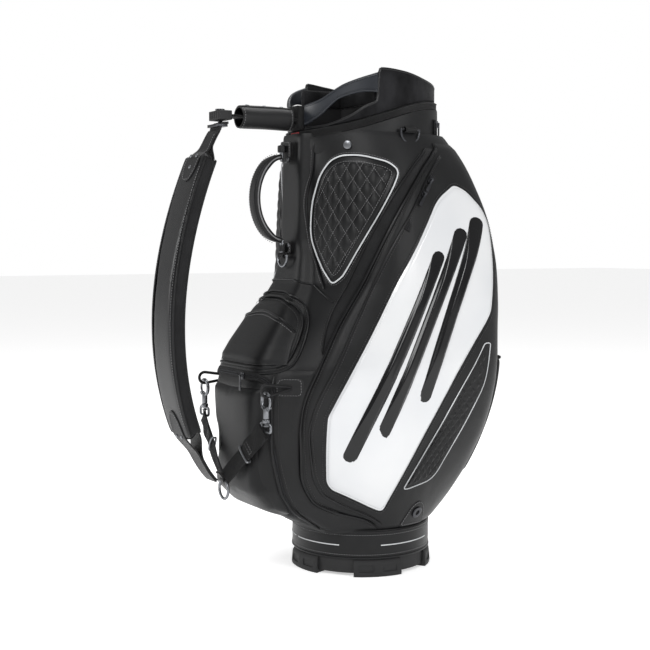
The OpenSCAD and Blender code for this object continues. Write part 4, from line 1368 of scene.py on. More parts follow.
# %% Cuff
TRIM_TAB = [(0, 4), (16, 5), (38, 10), (57, 19), (75, 32), (97, 48), (115, 56), (140, 60), (180, 62)]
WALL_TAB = [
    (0, 15), (27, 18), (47, 31), (61, 50), (69.8, 61), (71.4, 113.6), (73, 115), (92, 111), (117, 101),
    (150, 94), (180, 92),
]
GRAB_LOW_TAB = [(8, 20), (16, 26), (25, 36), (42, 64), (62, 74), (71, 73)]
GRAB_HIGH_TAB = [(8, 56), (23, 63), (45, 89), (71, 109)]
TRIM_HALF = 0.0075
trim_mid, wall_edge = curve(TRIM_TAB), curve(WALL_TAB)
grab_low, grab_high = curve(GRAB_LOW_TAB), curve(GRAB_HIGH_TAB)


def level(edge, a, extra=0.0):
    turn = abs(a) % 360
    return CUFF_FOOT + edge(360 - turn if turn > 180 else turn) / 1000 + extra


neck_top = band(
    0, 360, lambda a: height(95.5), lambda a: level(trim_mid, a, -TRIM_HALF + 0.001), 0.133, 0.1395, 160,
    0.3, 6, 0.0006,
)
finish_piece(neck_top, "neck_top", PU, "bag", "pu_black")
cuff_wall = band(
    8, 352, lambda a: level(trim_mid, a, TRIM_HALF + 0.0004), lambda a: level(wall_edge, a), 0.1292,
    0.1343, 430, 0.9, 10,
)
finish_piece(cuff_wall, "cuff_wall", VELVET, "bag", "velvet")
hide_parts("collar_wall")
rim_angles = [8.5 + 343 * i / 400 for i in range(401)]
edge_path = [around(0.1318, a, level(wall_edge, a, -0.0012)) for a in rim_angles]
cuff_edge = cord(edge_path, 0.0030, 8)
finish_piece(cuff_edge, "cuff_binding", PU_SMOOTH, "bag", "velvet")
trim = band(
    0, 360, lambda a: level(trim_mid, a, -TRIM_HALF), lambda a: level(trim_mid, a, TRIM_HALF), 0.1294,
    0.1378, 240, 0.7, 8, 0.0,
)
finish_piece(trim, "cuff_trim", TRIM, "bag", "ribbed_trim")
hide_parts("trim_ring")
trim_rows = []
for shift in (-0.0052, 0.0052):
    points, ups = ring_row(0.1382, 0, 0, 360, 300)
    trim_rows.append(
        ([Vector((p.x, p.y, level(trim_mid, 360 * i / 300, shift))) for i, p in enumerate(points)], ups)
    )
finish_piece(stitch_rows("trim_stitches", trim_rows), "trim_stitches", BLACK_THREAD, "bag", "ribbed_trim")
grab = band(
    8.5, 70, lambda a: level(grab_low, a), lambda a: level(grab_high, a), 0.1292, 0.1350, 110, 0.9, 8, 0.0,
)
grabs = both_sides(grab, "grab_strip", GRAB, "moulded_strip")
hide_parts("grab_strips")
grab_angles = [9.5 + 59.5 * i / 90 for i in range(91)]
grab_rim = joined("grab_rims", [
    cord([around(0.1352, a, level(edge, a, shift)) for a in grab_angles], 0.0010, 6)
    for edge, shift in ((grab_low, 0.004), (grab_high, -0.004))
])
both_sides(grab_rim, "grab_rims", GRAB, "moulded_strip")

print("cuff rim at the back:", round(level(wall_edge, 180), 3))

# %% [markdown]
# ### Dividers
# Velvet-covered bars cross the mouth and keep the clubs apart. Each is a rounded box section swept between
# two points and a little fuller mid-way, as padding is. The cloth wells, the club tube and the stays
# below them keep their exact shapes and only get finishes.

# %% Dividers
def padded_bar(start, end, wide, tall):
    """A velvet-covered bar: a rounded box section swept between two points, slightly fuller mid-way."""

    def place(u, v):
        angle = 2 * math.pi * u
        c, s = math.cos(angle), math.sin(angle)
        shape = (abs(c) ** 4 + abs(s) ** 4) ** -0.25
        full = 1 - 0.06 * abs(2 * v - 1) ** 3
        if v < 1e-6 or v > 1 - 1e-6:
            full = 0.02
        way = (end - start).normalized()
        side = Vector((-way.y, way.x, 0))
        return start.lerp(end, v) + side * c * shape * wide / 2 * full + Vector(
            (0, 0, s * shape * tall / 2 * full)
        )

    piece = new_grid(24, 60, place)
    mend(piece)
    return piece


bar_low, bar_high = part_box("divider_bars")
BAR_THICK = 0.012
BAR_CROSS = 0.042
bar_z = (bar_low[2] + bar_high[2]) / 2
bar_tall = bar_high[2] - bar_low[2]
cross_reach = math.sqrt(0.1285**2 - (BAR_CROSS + BAR_THICK / 2) ** 2)
bars_velvet = joined("divider_bars_cover", [
    padded_bar(Vector((0, -0.1275, bar_z)), Vector((0, 0.1275, bar_z)), BAR_THICK, bar_tall),
    padded_bar(
        Vector((-cross_reach, -BAR_CROSS, bar_z)), Vector((cross_reach, -BAR_CROSS, bar_z)), BAR_THICK,
        bar_tall,
    ),
    padded_bar(
        Vector((-cross_reach, BAR_CROSS, bar_z)), Vector((cross_reach, BAR_CROSS, bar_z)), BAR_THICK,
        bar_tall,
    ),
])
finish_piece(bars_velvet, "divider_bars_cover", VELVET, "bag", "velvet")
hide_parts("divider_bars")
seam_x = BAR_THICK / 2
bar_seams = joined("divider_seams", [
    cord([Vector((x, -0.124 + 0.248 * i / 40, bar_high[2] - 0.0028)) for i in range(41)], 0.0009, 6)
    for x in (-seam_x + 0.0018, seam_x - 0.0018)
])
finish_piece(bar_seams, "divider_seams", TAPE, "bag", "velvet")
refined("liner_tube", TAPE, "liner_fabric", round_off=0)
refined("well_dividers", TAPE, "liner_fabric", round_off=0.0003)
refined("stay_rods", ROD, "aluminium_rod", round_off=0.0004)

# %% [markdown]
# ## Metalwork
# Rings, hooks, sliders, studs and eyelets are hard pieces whose shapes are exact in the frame. Each is
# copied, merged and given small rounded edges, so that its highlights run along them as on cast metal.

# %% Metalwork
METAL_ON = {
    "front_ring": "front_ring", "ball_slider": "ball_slider", "ball_pull": "ball_pull", "strap_ring": "bag",
    "umbrella_eyelets": "bag", "strap_swivel": "shoulder_strap",
}
for side in ("left", "right"):
    for level_name in ("low", "high"):
        METAL_ON[f"side_slider_{level_name}_{side}"] = f"side_slider_{level_name}_{side}"
        METAL_ON[f"side_pull_{level_name}_{side}"] = f"side_pull_{level_name}_{side}"
    for part in ("rear_slider", "snap_hook", "hook_gate", "side_ring"):
        METAL_ON[f"{part}_{side}"] = f"{part}_{side}"
BLACK_PLATED = ("slider", "pull", "strap_swivel", "umbrella_eyelets", "side_ring")
for node, body in METAL_ON.items():
    dark = any(word in node for word in BLACK_PLATED)
    refined(node, DARK_METAL if dark else GUNMETAL, "gunmetal", body, 0.0003)
refined("rivets", GUNMETAL, "gunmetal", "bag", 0.0005)
print("metal pieces:", len(METAL_ON))

# %% [markdown]
# ## Front spine, eyelet tabs and small seams
# The narrow spine between the neck panels carries the handle. A welt runs down each of its sides and a
# seam arches over the small pocket. At the foot of each side a round-topped tab holds a metal eyelet.

# %% Spine, eyelet tabs and label
WELT_TAB = [
    (61.6, 34), (68, 25), (73, 19), (78, 17), (83, 16), (87, 17), (92.2, 20), (95.8, 20), (98.8, 21),
]
welt = curve(WELT_TAB)
welt_cord = joined("spine_welt", [cord_on_body(flat_row(welt, 61.6, 98.4, 70), 0.0019, -0.0016)])
both_sides(welt_cord, "spine_welt", PU_SMOOTH, "pu_black")
welt_rows = [laid(flat_row(welt, 63, 98, 80, -1.4), -0.0026)]
both_sides(stitch_rows("welt_stitches", welt_rows), "welt_stitches", GREY_THREAD, "pu_black")
seam_marks = [(-42, 58.5), (-26, 62.5), (-12, 63.9), (12, 63.9), (26, 62.5), (42, 58.5)]
arch_flat = even([Vector((arc_x(a), height(p))) for a, p in seam_marks], 80, closed=False)
arch_seam = cord_on_body(arch_flat, 0.0016, -0.0022)
finish_piece(arch_seam, "neck_seam", PU_SMOOTH, "bag", "pu_black")

TAB_EDGE = [(88, 0.3), (92, 3), (96, 6), (102, 7.6), (108, 6.3), (113, 3.2), (117, 0.3)]
tab_edge = even(rounded(TAB_EDGE, 0.012), 140)
eyelet_tab = panel_on_body(tab_edge, 10, lambda point, share: rolled(share, 0.9, 0.0020, 0.003))
both_sides(eyelet_tab, "eyelet_tab", LEATHER, "pu_black")
tab_in = grown(tab_edge, -0.0035)
both_sides(
    stitch_rows("eyelet_stitches", [laid(tab_in + [tab_in[0]], 0.0024)]), "eyelet_stitches", GREY_THREAD,
    "pu_black",
)


def front_plate(edge, rings, depth, thick=0.003):
    """A plate facing the front, from a closed outline of (x, z); depth(point, share) is its distance out."""
    count = len(edge)
    middle = sum(edge, Vector((0, 0))) / count

    def place(u, v):
        share = round(v * rings) / rings
        point = middle.lerp(edge[round(u * count) % count], share)
        return Vector((point.x, -depth(point, share), point.y))

    piece = new_grid(count, rings, place)
    mend(piece)
    select_only(piece)
    if piece.data.polygons[0].normal.y > 0:
        bpy.ops.object.mode_set(mode="EDIT")
        bpy.ops.mesh.select_all(action="SELECT")
        bpy.ops.mesh.flip_normals()
        bpy.ops.object.mode_set(mode="OBJECT")
    apply_modifier(piece, "SOLIDIFY", thickness=thick, offset=-1)
    return piece


def round_box(x0, x1, z0, z1, corner, low_corner=None, count=120):
    """Closed outline of a box with rounded corners; the lower two may be rounder."""
    corners = [
        (x0, z0, low_corner or corner), (x1, z0, low_corner or corner), (x1, z1, corner), (x0, z1, corner),
    ]
    points = []
    for i, (x, z, radius) in enumerate(corners):
        here = Vector((x, z))
        before = Vector(corners[i - 1][:2]) - here
        after = Vector(corners[(i + 1) % 4][:2]) - here
        centre = here + before.normalized() * radius + after.normalized() * radius
        for k in range(9):
            t = math.pi / 2 * k / 8
            points.append(
                centre - after.normalized() * radius * math.cos(
                    t
                ) - before.normalized() * radius * math.sin(t)
            )
    return even(points, count)


RED_EDGE = moulded_finish("red_edging", (0.42, 0.012, 0.016), 0.45, 600, 0.00003)
label_z = 0.7835
label_back = front_plate(
    round_box(-0.0135, 0.0135, label_z - 0.0052, label_z + 0.0052, 0.0015, None, 60), 4,
    lambda point, share: 0.1392 - 0.0003 * ease(share, 0.9, 1),
)
finish_piece(label_back, "blank_label", PU_SMOOTH, "bag", "ribbed_trim")
label_line = cord(
    [
        Vector((p.x, -0.1392, p.y))
        for p in round_box(-0.0132, 0.0132, label_z - 0.0049, label_z + 0.0049, 0.0015, None, 60)
    ],
    0.0006, 6, True,
)
finish_piece(label_line, "label_edging", RED_EDGE, "bag", "ribbed_trim")
print("eyelet tab top:", round(height(7.6), 3))

# %% [markdown]
# ## Carry handle
# The handle is a flat, padded leather grip that swings on two upright pins. Its section is an oval, swept
# along half an ellipse; edge beads and stitches run along both sides. Its anchors are leather plates with
# a sleeve for the pin, held by rivets.

# %% Carry handle
handle_pin = joint_place("handle_swing")
HANDLE_HALF = 0.0735
HANDLE_REACH = 0.054
PIN_TOP = handle_pin.z + 0.0875
PIN_LOW = handle_pin.z - 0.0875


def grip_point(t, x=0.0, out=0.0):
    angle = math.radians(t)
    way = Vector((0, math.sin(angle) * HANDLE_REACH, math.cos(angle) * HANDLE_HALF)).normalized()
    normal = Vector((0, -way.z, way.y))
    here = Vector(
        (x, handle_pin.y - HANDLE_REACH * math.cos(angle), handle_pin.z + HANDLE_HALF * math.sin(angle))
    )
    return here + normal * out, normal


grip_path = [grip_point(-90 + 3 * i)[0] for i in range(61)]
grip_ups = [grip_point(-90 + 3 * i)[1] for i in range(61)]


def grip_size(i):
    return 0.62 + 0.38 * ease(min(i, 60 - i) / 60, 0.03, 0.22)


def grip_place(u, v):
    i = round(v * 60)
    angle = 2 * math.pi * u
    c, s = math.cos(angle), math.sin(angle)
    shape = (abs(c) ** 2.6 + abs(s) ** 2.6) ** (-1 / 2.6)
    size = grip_size(i) if 0 < i < 60 else 0.02
    return grip_path[i] + Vector(
        (c * shape * 0.0125 * size, 0, 0)
    ) + grip_ups[i] * s * shape * 0.0078 * size


grip = new_grid(28, 60, grip_place)
mend(grip)
finish_piece(grip, "handle_grip", LEATHER, "carry_handle", "leather")
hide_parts("carry_handle")
grip_edges = joined("grip_edges", [
    cord(
        [grip_point(-84 + 2.8 * i, x * grip_size(60 * i / 60) , 0)[0] for i in range(61)], 0.0013, 6,
        False, 1.0, grip_ups,
    )
    for x in (-0.0128, 0.0128)
])
finish_piece(grip_edges, "grip_edges", GREY_THREAD, "carry_handle", "leather")
grip_rows = [
    ([grip_point(-78 + 2.6 * i, x, 0.0068)[0] for i in range(61)], grip_ups) for x in (-0.0088, 0.0088)
]
finish_piece(
    stitch_rows("grip_stitches", grip_rows), "grip_stitches", BLACK_THREAD, "carry_handle", "leather",
)


def turned(radius, low, high, centre, name, soft=0.0008, segments=32):
    """A plain upright pin: a cylinder with bevelled rims."""
    bpy.ops.object.select_all(action="DESELECT")
    bpy.ops.mesh.primitive_cylinder_add(
        vertices=segments, radius=radius, depth=high - low,
        location=(centre[0], centre[1], (low + high) / 2),
    )
    piece = bpy.context.object
    bpy.ops.object.transform_apply(location=True)
    apply_modifier(
        piece, "BEVEL", width=soft, segments=3, limit_method="ANGLE", angle_limit=math.radians(50),
    )
    piece.name = name
    return piece


pins = joined("handle_pins", [
    turned(0.004, PIN_TOP - 0.016, PIN_TOP + 0.007, handle_pin, "pin_top"),
    turned(0.004, PIN_LOW - 0.008, PIN_LOW + 0.015, handle_pin, "pin_low"),
])
finish_piece(pins, "handle_pins", GUNMETAL, "carry_handle", "gunmetal")
PLATE_FACE = 0.1602
plates = joined("handle_plates", [
    front_plate(
        round_box(-0.018, 0.018, PIN_TOP - 0.026, PIN_TOP + 0.014, 0.004, 0.0165), 8,
        lambda point, share: PLATE_FACE - 0.0012 * ease(share, 0.86, 1),
    ),
    front_plate(
        round_box(-0.018, 0.018, PIN_LOW - 0.010, PIN_LOW + 0.012, 0.006), 8,
        lambda point, share: PLATE_FACE - 0.0012 * ease(share, 0.86, 1),
    ),
])
finish_piece(plates, "handle_plates", LEATHER, "bag", "leather")
plate_rows = []
for outline in (
    round_box(-0.0158, 0.0158, PIN_TOP - 0.0238, PIN_TOP + 0.0118, 0.004, 0.0145),
    round_box(-0.0158, 0.0158, PIN_LOW - 0.0078, PIN_LOW + 0.0098, 0.005),
):
    line = outline + [outline[0]]
    plate_rows.append(
        ([Vector((p.x, -PLATE_FACE - 0.0004, p.y)) for p in line], [Vector((0, -1, 0))] * len(line))
    )
finish_piece(stitch_rows("plate_stitches", plate_rows), "plate_stitches", GREY_THREAD, "bag", "leather")
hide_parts("handle_anchors")


def sleeve_ring(middle):
    """A short leather sleeve round an upright pin."""
    def place(u, v):
        angle = 2 * math.pi * u
        bulge = 0.0074 - 0.0006 * (2 * v - 1) ** 4
        return Vector(
            (bulge * math.sin(angle), handle_pin.y - bulge * math.cos(angle), middle - 0.006 + 0.012 * v)
        )

    piece = new_grid(32, 8, place)
    mend(piece)
    apply_modifier(piece, "SOLIDIFY", thickness=0.0028, offset=-1)
    return piece


sleeves = joined("pin_sleeves", [sleeve_ring(PIN_TOP), sleeve_ring(PIN_LOW)])
finish_piece(sleeves, "pin_sleeves", LEATHER, "bag", "leather")
print("handle pins at", [round(z, 3) for z in (PIN_LOW, PIN_TOP)])

# %% [markdown]
# ## Ring tabs
# Each ring hangs in a folded loop of webbing. The loop is a narrow tape laid round the ring's bar and
# back to the bag.

# %% Ring tabs
def ring_loop(centre, out, wide, reach, bar=0.0046):
    """Webbing round a level bar: from the bag, over the bar and back."""
    path, ups = [], []
    for k in range(4):
        path.append(centre - out * (reach - reach * k / 4) + Vector((0, 0, bar * (0.6 + 0.1 * k))))
        ups.append(Vector((0, 0, 1)))
    for k in range(13):
        turn = math.pi / 2 - math.pi * k / 12
        path.append(centre + (out * math.cos(turn) + Vector((0, 0, math.sin(turn)))) * bar)
        ups.append((out * math.cos(turn) + Vector((0, 0, math.sin(turn)))).normalized())
    for k in range(4):
        path.append(centre - out * (reach * (k + 1) / 4) - Vector((0, 0, bar * (0.9 - 0.1 * k))))
        ups.append(Vector((0, 0, -1)))
    return tape_along(path, ups, wide, 0.0016)


ring_joint = joint_place("side_ring_swing_right")
side_out = Vector((ring_joint.x, ring_joint.y, 0)).normalized()
both_sides(ring_loop(ring_joint, side_out, 0.024, 0.010), "side_ring_tab", WEBBING, "webbing")
front_joint = joint_place("front_ring_swing")
front_tab = ring_loop(front_joint, Vector((0, -1, 0)), 0.018, 0.013)
finish_piece(front_tab, "front_ring_tab", WEBBING, "bag", "webbing")
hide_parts("ring_tabs")
print("ring tabs at", [round(c, 3) for c in ring_joint], [round(c, 3) for c in front_joint])

# %% [markdown]
# ## Hook webbings and anchor loops
# Two webbings run in a V from the strap ring to a flat metal frame each; the frame carries the snap hook.
# The hook is clipped to a long leather loop on the bag, drawn as an arc round the hook with two straight
# sides that meet at the bag.

# %% Hook webbings and anchor loops
hook_joint = joint_place("hook_swivel_right")
ring_low, ring_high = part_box("strap_ring")
ring_middle = (Vector(ring_low) + Vector(ring_high)) / 2


def web_between(start, end, facing, wide0, wide1, sag=0.0, count=40):
    """A webbing between two points that narrows where it is threaded."""
    way = (end - start).normalized()
    up = (facing - way * facing.dot(way)).normalized()
    side = way.cross(up)

    def place(u, v):
        wide = wide0 + (wide1 - wide0) * ease(v, 0.0, 1.0)
        hang = math.sin(math.pi * v) * sag
        return start.lerp(end, v) + side * (u - 0.5) * wide + up * (hang + 0.0012 * math.sin(9 * v + 4 * u))

    piece = new_grid(8, count, place)
    apply_modifier(piece, "SOLIDIFY", thickness=0.0022, offset=0)
    return piece, (start, end, up, side)


web_start = ring_middle + Vector((0.006, -0.0005, 0.0215))
web_end = hook_joint + Vector((-0.003, -0.0030, -0.0215))
facing = Vector((0.2, -1, 0.0))
web, (w0, w1, w_up, w_side) = web_between(web_start, web_end, facing, 0.026, 0.030, 0.002)
web_lap, _ = web_between(
    web_start.lerp(web_end, 0.60) + w_up * 0.0026, web_end + w_up * 0.0026, facing, 0.031, 0.030, 0.0008,
    16,
)
webs = joined("hook_webbing_cover", [web, web_lap])
web_pair = both_sides(webs, "hook_webbing_cover", WEBBING, "webbing")
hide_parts("hook_webbing")
lap_rows = []
for share in (0.63, 0.68):
    middle = w0.lerp(w1, share) + w_up * 0.0046
    lap_rows.append(([middle + w_side * (i / 12 - 0.5) * 0.024 for i in range(13)], [w_up] * 13))
for x in (-0.010, 0.010):
    lap_rows.append(
        ([w0.lerp(w1, 0.63 + 0.05 * i / 12) + w_up * 0.0046 + w_side * x for i in range(13)], [w_up] * 13)
    )
both_sides(stitch_rows("hook_web_stitches", lap_rows), "hook_web_stitches", GREY_THREAD, "webbing")

frame_middle = hook_joint + Vector((0, -0.0005, -0.0148))
frame_line = [
    Vector((p.x, frame_middle.y, p.y))
    for p in round_box(
        frame_middle.x - 0.0170, frame_middle.x + 0.0170, frame_middle.z - 0.0072, frame_middle.z + 0.0072,
        0.004, None, 72,
    )
]
frame_wire = cord(frame_line, 0.0022, 10, True, 1.0, [Vector((0, -1, 0))] * 72)
barrel = turned(0.0064, hook_joint.z - 0.0072, hook_joint.z - 0.0010, hook_joint, "barrel", 0.0012)
keeper_wire = cord(
    [
        w0.lerp(w1, 0.52) + w_up * 0.0036 * math.sin(2 * math.pi * k / 40) * 1.4 + w_side * 0.0165 * max(
            min(1.35 * math.cos(2 * math.pi * k / 40), 1), -1,
        )
        for k in range(40)
    ],
    0.0018, 8, True, 1.0, [(w1 - w0).normalized()] * 40,
)
hook_frames = joined("hook_frames", [frame_wire, barrel, keeper_wire])
both_sides(hook_frames, "hook_frames", GUNMETAL, "gunmetal")

loop_middle = Vector((hook_joint.x, hook_joint.y, hook_joint.z + 0.047))
loop_root = spot(27, percent(loop_middle.z), 0.001)
LOOP_R = 0.010
loop_way = (loop_root - loop_middle)
loop_len = loop_way.length
loop_dir = loop_way.normalized()
loop_up = Vector((0, 0, 1))
lean = math.degrees(math.acos(LOOP_R / loop_len))
loop_path = [loop_root + loop_up * 0.0015]
for k in range(31):
    turn = math.radians(lean + (360 - 2 * lean) * k / 30)
    loop_path.append(loop_middle + loop_dir * math.cos(turn) * LOOP_R + loop_up * math.sin(turn) * LOOP_R)
loop_path.append(loop_root - loop_up * 0.0015)
dense = even(loop_path, 90, closed=False)
across = loop_dir.cross(loop_up).normalized()
loop_cord = cord(dense, 0.0026, 10, False, 1.0, [across] * 90)
root_edge = even(rounded([(22, 35.6), (32, 35.6), (32, 40.2), (22, 40.2)], 0.008), 80)
root_tab = panel_on_body(root_edge, 6, lambda point, share: rolled(share, 0.85, 0.0022, 0.002))
loops = joined("anchor_loop_cover", [loop_cord, root_tab])
loop_pair = both_sides(loops, "anchor_loop_cover", LEATHER, "leather")
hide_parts("anchor_loops")
root_in = grown(root_edge, -0.0022)
both_sides(
    stitch_rows("root_stitches", [laid(root_in + [root_in[0]], 0.0026)]), "root_stitches", GREY_THREAD,
    "leather",
)
print("loop length:", round(sum((b - a).length for a, b in zip(dense, dense[1:])), 3))

# %% [markdown]
# ## Shoulder strap
# The strap is a foam pad in coated fabric that bows out from its swivel to the ring. Its pad is a rounded
# section swept along the bow and then blown up as cloth, so its faces crown between the seams. Leather
# tabs sandwich both ends, with rivets, and piping runs along the edges of its outer face.

# %% Shoulder strap
SWIVEL_Y = -0.288
STRAP_FOOT = ring_middle.z + 0.012
STRAP_TOP = 0.811 - 0.024


def bow(u, x=0.0, out=0.0):
    """A point of the strap by its share of the height, distance across, and distance out of its face."""
    def middle(t):
        t = min(max(t, 0.0), 1.0)
        y = SWIVEL_Y - 0.008 - 0.092 * max(math.sin(math.pi * t**0.86), 0) ** 0.8
        return Vector((0, y, STRAP_FOOT + (STRAP_TOP - STRAP_FOOT) * t))

    way = (middle(min(u + 0.01, 1)) - middle(max(u - 0.01, 0))).normalized()
    normal = Vector((0, -way.z, way.y))
    return middle(u) + Vector((x, 0, 0)) + normal * out, normal


PAD_LOW, PAD_TOP = 0.135, 0.935
PAD_HALF, PAD_THICK = 0.0440, 0.0100


def pad_half(v):
    """Half width along the pad: a little narrower at its ends, which are round."""
    ends = min(v / 0.045, (1 - v) / 0.035, 1)
    return PAD_HALF * (0.90 + 0.10 * math.sin(math.pi * v)) * math.sqrt(max(1 - (1 - ends) ** 2.4, 0.0004))


def pad_place(u, v):
    angle = 2 * math.pi * u
    c, s = math.cos(angle), math.sin(angle)
    shape = (abs(c) ** 5 + abs(s) ** 5) ** -0.2
    thick = PAD_THICK * min(1, 0.35 + min(v, 1 - v) * 30)
    return bow(PAD_LOW + (PAD_TOP - PAD_LOW) * v, c * shape * pad_half(v), s * shape * thick)[0]


pad = new_grid(48, 160, pad_place)
mend(pad)
puffed(pad, 0.0048, 4.0, 0.0035)
finish_piece(pad, "strap_pad_cover", PU_SMOOTH, "shoulder_strap", "pu_black", 60)
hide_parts("strap_pad")


def strap_row(x, out, v0=0.02, v1=0.98, count=140):
    points, ups = [], []
    for i in range(count):
        v = v0 + (v1 - v0) * i / (count - 1)
        point, normal = bow(PAD_LOW + (PAD_TOP - PAD_LOW) * v, x * pad_half(v), out)
        points.append(point)
        ups.append(normal)
    return points, ups


pad_piping = joined(
    "strap_piping",
    [cord(strap_row(x, out)[0], 0.0021, 8) for x in (-0.985, 0.985) for out in (0.0095, -0.0095)],
)
finish_piece(pad_piping, "strap_piping", PU, "shoulder_strap", "pu_black")
finish_piece(
    stitch_rows("strap_stitches", [strap_row(x, 0.0132, 0.06, 0.94) for x in (-0.86, 0.86)]),
    "strap_stitches", GREY_THREAD, "shoulder_strap", "pu_black",
)


def side_place(sign):
    def place(u, v):
        w = 0.03 + 0.94 * v
        out = (u - 0.5) * 0.0165
        point, normal = bow(
            PAD_LOW + (PAD_TOP - PAD_LOW) * w,
            sign * (pad_half(w) + 0.0020 * math.cos(math.pi * (u - 0.5))), out,
        )
        return point

    return place


gusset_mesh = joined("strap_side_mesh", [new_grid(8, 140, side_place(-1)), new_grid(8, 140, side_place(1))])
apply_modifier(gusset_mesh, "SOLIDIFY", thickness=0.001, offset=0)
finish_piece(gusset_mesh, "strap_side_mesh", KNIT, "shoulder_strap", "stretch_fabric")
print("strap pad points:", len(pad.data.vertices))

# %% [markdown]
# ### Strap leathers
# Each end of the pad is sandwiched between two leather tabs with a round end, stitched along the edge and
# held by domed rivets. A tab starts narrow at the metal and climbs onto the pad's face as it goes, so its
# width and its distance from the middle are both short functions of the way along it.

# %% Strap leathers
def strap_tab(u0, u1, half, out, thick=0.0024, count=40):
    """A leather tab on the strap: half(v) is its half width and out(v) its distance from the middle."""

    def place(u, v):
        return bow(u0 + (u1 - u0) * v, (2 * u - 1) * half(v), out(v))[0]

    piece = new_grid(16, count, place)
    apply_modifier(piece, "SOLIDIFY", thickness=thick, offset=0)
    apply_modifier(
        piece, "BEVEL", width=0.0005, segments=2, limit_method="ANGLE", angle_limit=math.radians(50),
    )
    return piece


def round_end(v, half):
    """Half width of a tab that is round at v = 1."""
    return half * math.sqrt(max(1 - max((v - 0.62) / 0.38, 0) ** 2.2, 0.0009))


def low_half(v):
    return round_end(v, 0.019 + 0.004 * v)


def top_half(v):
    return round_end(v, 0.019 + 0.006 * ease(v, 0.2, 0.5))


def low_out(v):
    return 0.0016 + 0.0122 * ease(v, 0.35, 0.72)


def top_out(v):
    return 0.0016 + 0.0122 * ease(v, 0.32, 0.62)


leathers = joined("strap_tabs", [
    strap_tab(0.012, 0.225, low_half, low_out),
    strap_tab(0.012, 0.190, low_half, lambda v: -low_out(v)),
    strap_tab(0.995, 0.845, top_half, top_out),
    strap_tab(0.995, 0.870, low_half, lambda v: -top_out(v)),
])
top_fold = [
    bow(0.985, 0, 0)[0], bow(0.999, 0, 0.0)[0], Vector((0, -0.2955, 0.7915)), Vector((0, -0.290, 0.7975)),
    Vector((0, -0.281, 0.7982)),
]
fold_ups = [
    Vector((0, -1, 0)), Vector((0, -1, 0.1)).normalized(), Vector((0, -0.8, 0.6)),
    Vector((0, -0.3, 0.95)).normalized(), Vector((0, 0, 1)),
]
fold = tape_along(
    even(top_fold, 24, closed=False),
    [
        fold_ups[min(i // 5, 4)].lerp(fold_ups[min(i // 5 + 1, 4)], (i % 5) / 5).normalized()
        for i in range(24)
    ],
    0.037, 0.0040,
)
leathers = joined("strap_tabs", [leathers, fold])
finish_piece(leathers, "strap_tabs", LEATHER, "shoulder_strap", "leather")
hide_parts("strap_leathers")


def tab_row(u0, u1, half, out, inset, count=60):
    """Stitches that follow a tab's edge: up one side, round its end and down the other."""
    line, ups = [], []
    for sign in (1, -1):
        side = []
        for i in range(count):
            v = 0.08 + 0.88 * i / (count - 1)
            point, normal = bow(u0 + (u1 - u0) * v, sign * max(half(v) - inset, 0.0), out(v) + 0.0016)
            side.append((point, normal))
        line += side if sign > 0 else side[::-1]
    return [row[0] for row in line], [row[1] for row in line]


tab_rows = [
    tab_row(0.012, 0.225, low_half, low_out, 0.003),
    tab_row(0.995, 0.845, top_half, top_out, 0.003),
]
finish_piece(
    stitch_rows("tab_stitches", tab_rows), "tab_stitches", GREY_THREAD, "shoulder_strap", "leather",
)


def rivet_at(point, normal, radius=0.0034):
    """A domed rivet head."""
    bpy.ops.object.select_all(action="DESELECT")
    bpy.ops.mesh.primitive_uv_sphere_add(segments=20, ring_count=10, radius=1)
    head = bpy.context.object
    place = frame_at(point, Vector((1, 0, 0)), normal)
    head.data.transform(place @ Matrix.Diagonal((radius, radius, radius * 0.42, 1)))
    return head


rivet_spots = [
    (0.152, -0.010, 0.0150), (0.152, 0.010, 0.0150), (0.915, -0.011, 0.0152), (0.915, 0.011, 0.0152),
    (0.885, 0.0, 0.0152),
]
rivets = joined("strap_rivets", [rivet_at(*bow(u, x, out)) for u, x, out in rivet_spots])
finish_piece(rivets, "strap_rivets", GUNMETAL, "shoulder_strap", "gunmetal")

loop_ring = ring_middle + Vector((0, 0, 0.017))
ring_wrap_path, ring_wrap_ups = [], []
for k in range(25):
    turn = math.radians(250 - 320 * k / 24)
    out_way = Vector((0, -math.sin(turn - math.pi / 2), math.cos(turn - math.pi / 2)))
    ring_wrap_path.append(loop_ring + out_way * 0.0042)
    ring_wrap_ups.append(out_way)
wrap_leather = tape_along(ring_wrap_path, ring_wrap_ups, 0.013, 0.0018)
neck_path = even(
    [
        loop_ring + Vector((0, -0.003, 0.003)), loop_ring + Vector((0, -0.008, 0.010)),
        loop_ring + Vector((0, -0.012, 0.014)),
    ],
    10, closed=False,
)
neck_leather = tape_along(neck_path, [Vector((0, -0.6, -0.8)).normalized()] * 10, 0.013, 0.0030)
ring_leather = joined("ring_leather", [wrap_leather, neck_leather])
finish_piece(ring_leather, "ring_leather", LEATHER, "bag", "leather")
print("strap foot at", round(STRAP_FOOT, 3), "top at", round(STRAP_TOP, 3))

# %% [markdown]
# ## Strap top: webbing, sleeve and buckle
# At the top, folded webbing runs out from a post on the cuff to a moulded buckle that the strap's swivel
# stud turns in. An open leather sleeve with three snaps is rolled round the webbing and can turn on it.

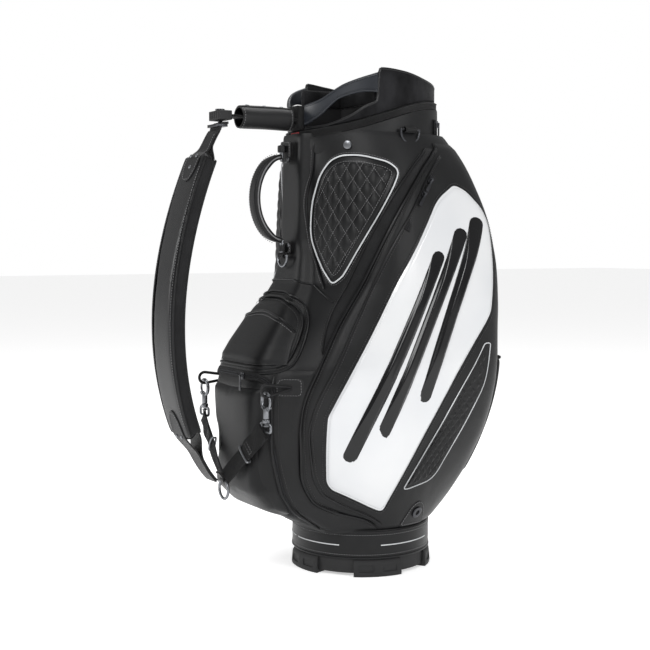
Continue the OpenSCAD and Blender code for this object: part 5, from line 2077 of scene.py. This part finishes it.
# %% Strap top
web_low, web_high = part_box("top_webbing")
web_mid = (web_low[2] + web_high[2]) / 2
layers = []
for shift in (-0.0012, 0.0012):
    line = [
        Vector(
            (
                0, web_high[1] - 0.001 + (web_low[1] - web_high[1] + 0.002) * i / 30,
                web_mid + shift + 0.0003 * math.sin(i * 0.7),
            )
        )
        for i in range(31)
    ]
    layers.append(tape_along(line, [Vector((0, 0, 1))] * 31, web_high[0] - web_low[0] - 0.001, 0.0017))
top_web = joined("top_webbing_cover", layers)
finish_piece(top_web, "top_webbing_cover", WEBBING, "bag", "webbing")
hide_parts("top_webbing")
refined("strap_post", TRIM, "ribbed_trim", "bag", 0.002)
refined("strap_buckle", RUBBER, "gunmetal", "bag", 0.0016)
buckle_low, buckle_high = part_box("strap_buckle")
ribs = []
for k in range(5):
    x = buckle_low[0] + 0.005 + (buckle_high[0] - buckle_low[0] - 0.010) * k / 4
    ribs.append(
        cord(
            [
                Vector(
                    (
                        x, buckle_low[1] - 0.0001,
                        buckle_low[2] + 0.002 + (buckle_high[2] - buckle_low[2] - 0.004) * i / 10,
                    )
                )
                for i in range(11)
            ],
            0.0010, 8, False, 1.0, [Vector((0, -1, 0))] * 11,
        )
    )
buckle_ribs = joined("buckle_ribs", ribs)
finish_piece(buckle_ribs, "buckle_ribs", RUBBER, "bag", "gunmetal")
sleeve_low, sleeve_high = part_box("leather_sleeve")
SLEEVE_R = 0.0198


def sleeve_place(u, v):
    angle = 2 * math.pi * u
    y = sleeve_high[1] + (sleeve_low[1] - sleeve_high[1]) * v
    r = SLEEVE_R - 0.0007 * ease(abs(2 * v - 1), 0.8, 1.0) - 0.0006 * (1 + math.cos(angle * 3 + v * 6)) / 2
    return Vector((r * math.sin(angle), y, web_mid + r * math.cos(angle)))


sleeve_tube = new_grid(64, 40, sleeve_place)
mend(sleeve_tube)
apply_modifier(sleeve_tube, "SOLIDIFY", thickness=0.0024, offset=-1)
flap = new_grid(
    14, 40,
    lambda u, v: sleeve_place((u - 0.5) * 0.16, 0.01 + 0.98 * v) + Vector(((u - 0.5) * 0.0006, 0, 0.0008)),
)
apply_modifier(flap, "SOLIDIFY", thickness=0.0014, offset=0)
sleeve = joined("sleeve_cover", [sleeve_tube, flap])
finish_piece(sleeve, "sleeve_cover", LEATHER, "leather_sleeve", "leather")
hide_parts("leather_sleeve")
snaps = joined(
    "sleeve_snaps",
    [
        rivet_at(
            Vector((0, sleeve_high[1] - 0.016 - 0.034 * k, web_mid + 0.0207)), Vector((0, 0, 1)), 0.004,
        )
        for k in range(3)
    ],
)
finish_piece(snaps, "sleeve_snaps", GUNMETAL, "leather_sleeve", "gunmetal")
edge_rows = []
for v in (0.035, 0.965):
    points = [sleeve_place(0.1 + 0.8 * i / 60, v) for i in range(61)]
    ups = [Vector((p.x, 0, p.z - web_mid)).normalized() for p in points]
    edge_rows.append(([p + up * 0.0004 for p, up in zip(points, ups)], ups))
finish_piece(
    stitch_rows("sleeve_stitches", edge_rows), "sleeve_stitches", GREY_THREAD, "leather_sleeve", "leather",
)
print("sleeve from", round(sleeve_high[1], 3), "to", round(sleeve_low[1], 3))

import json
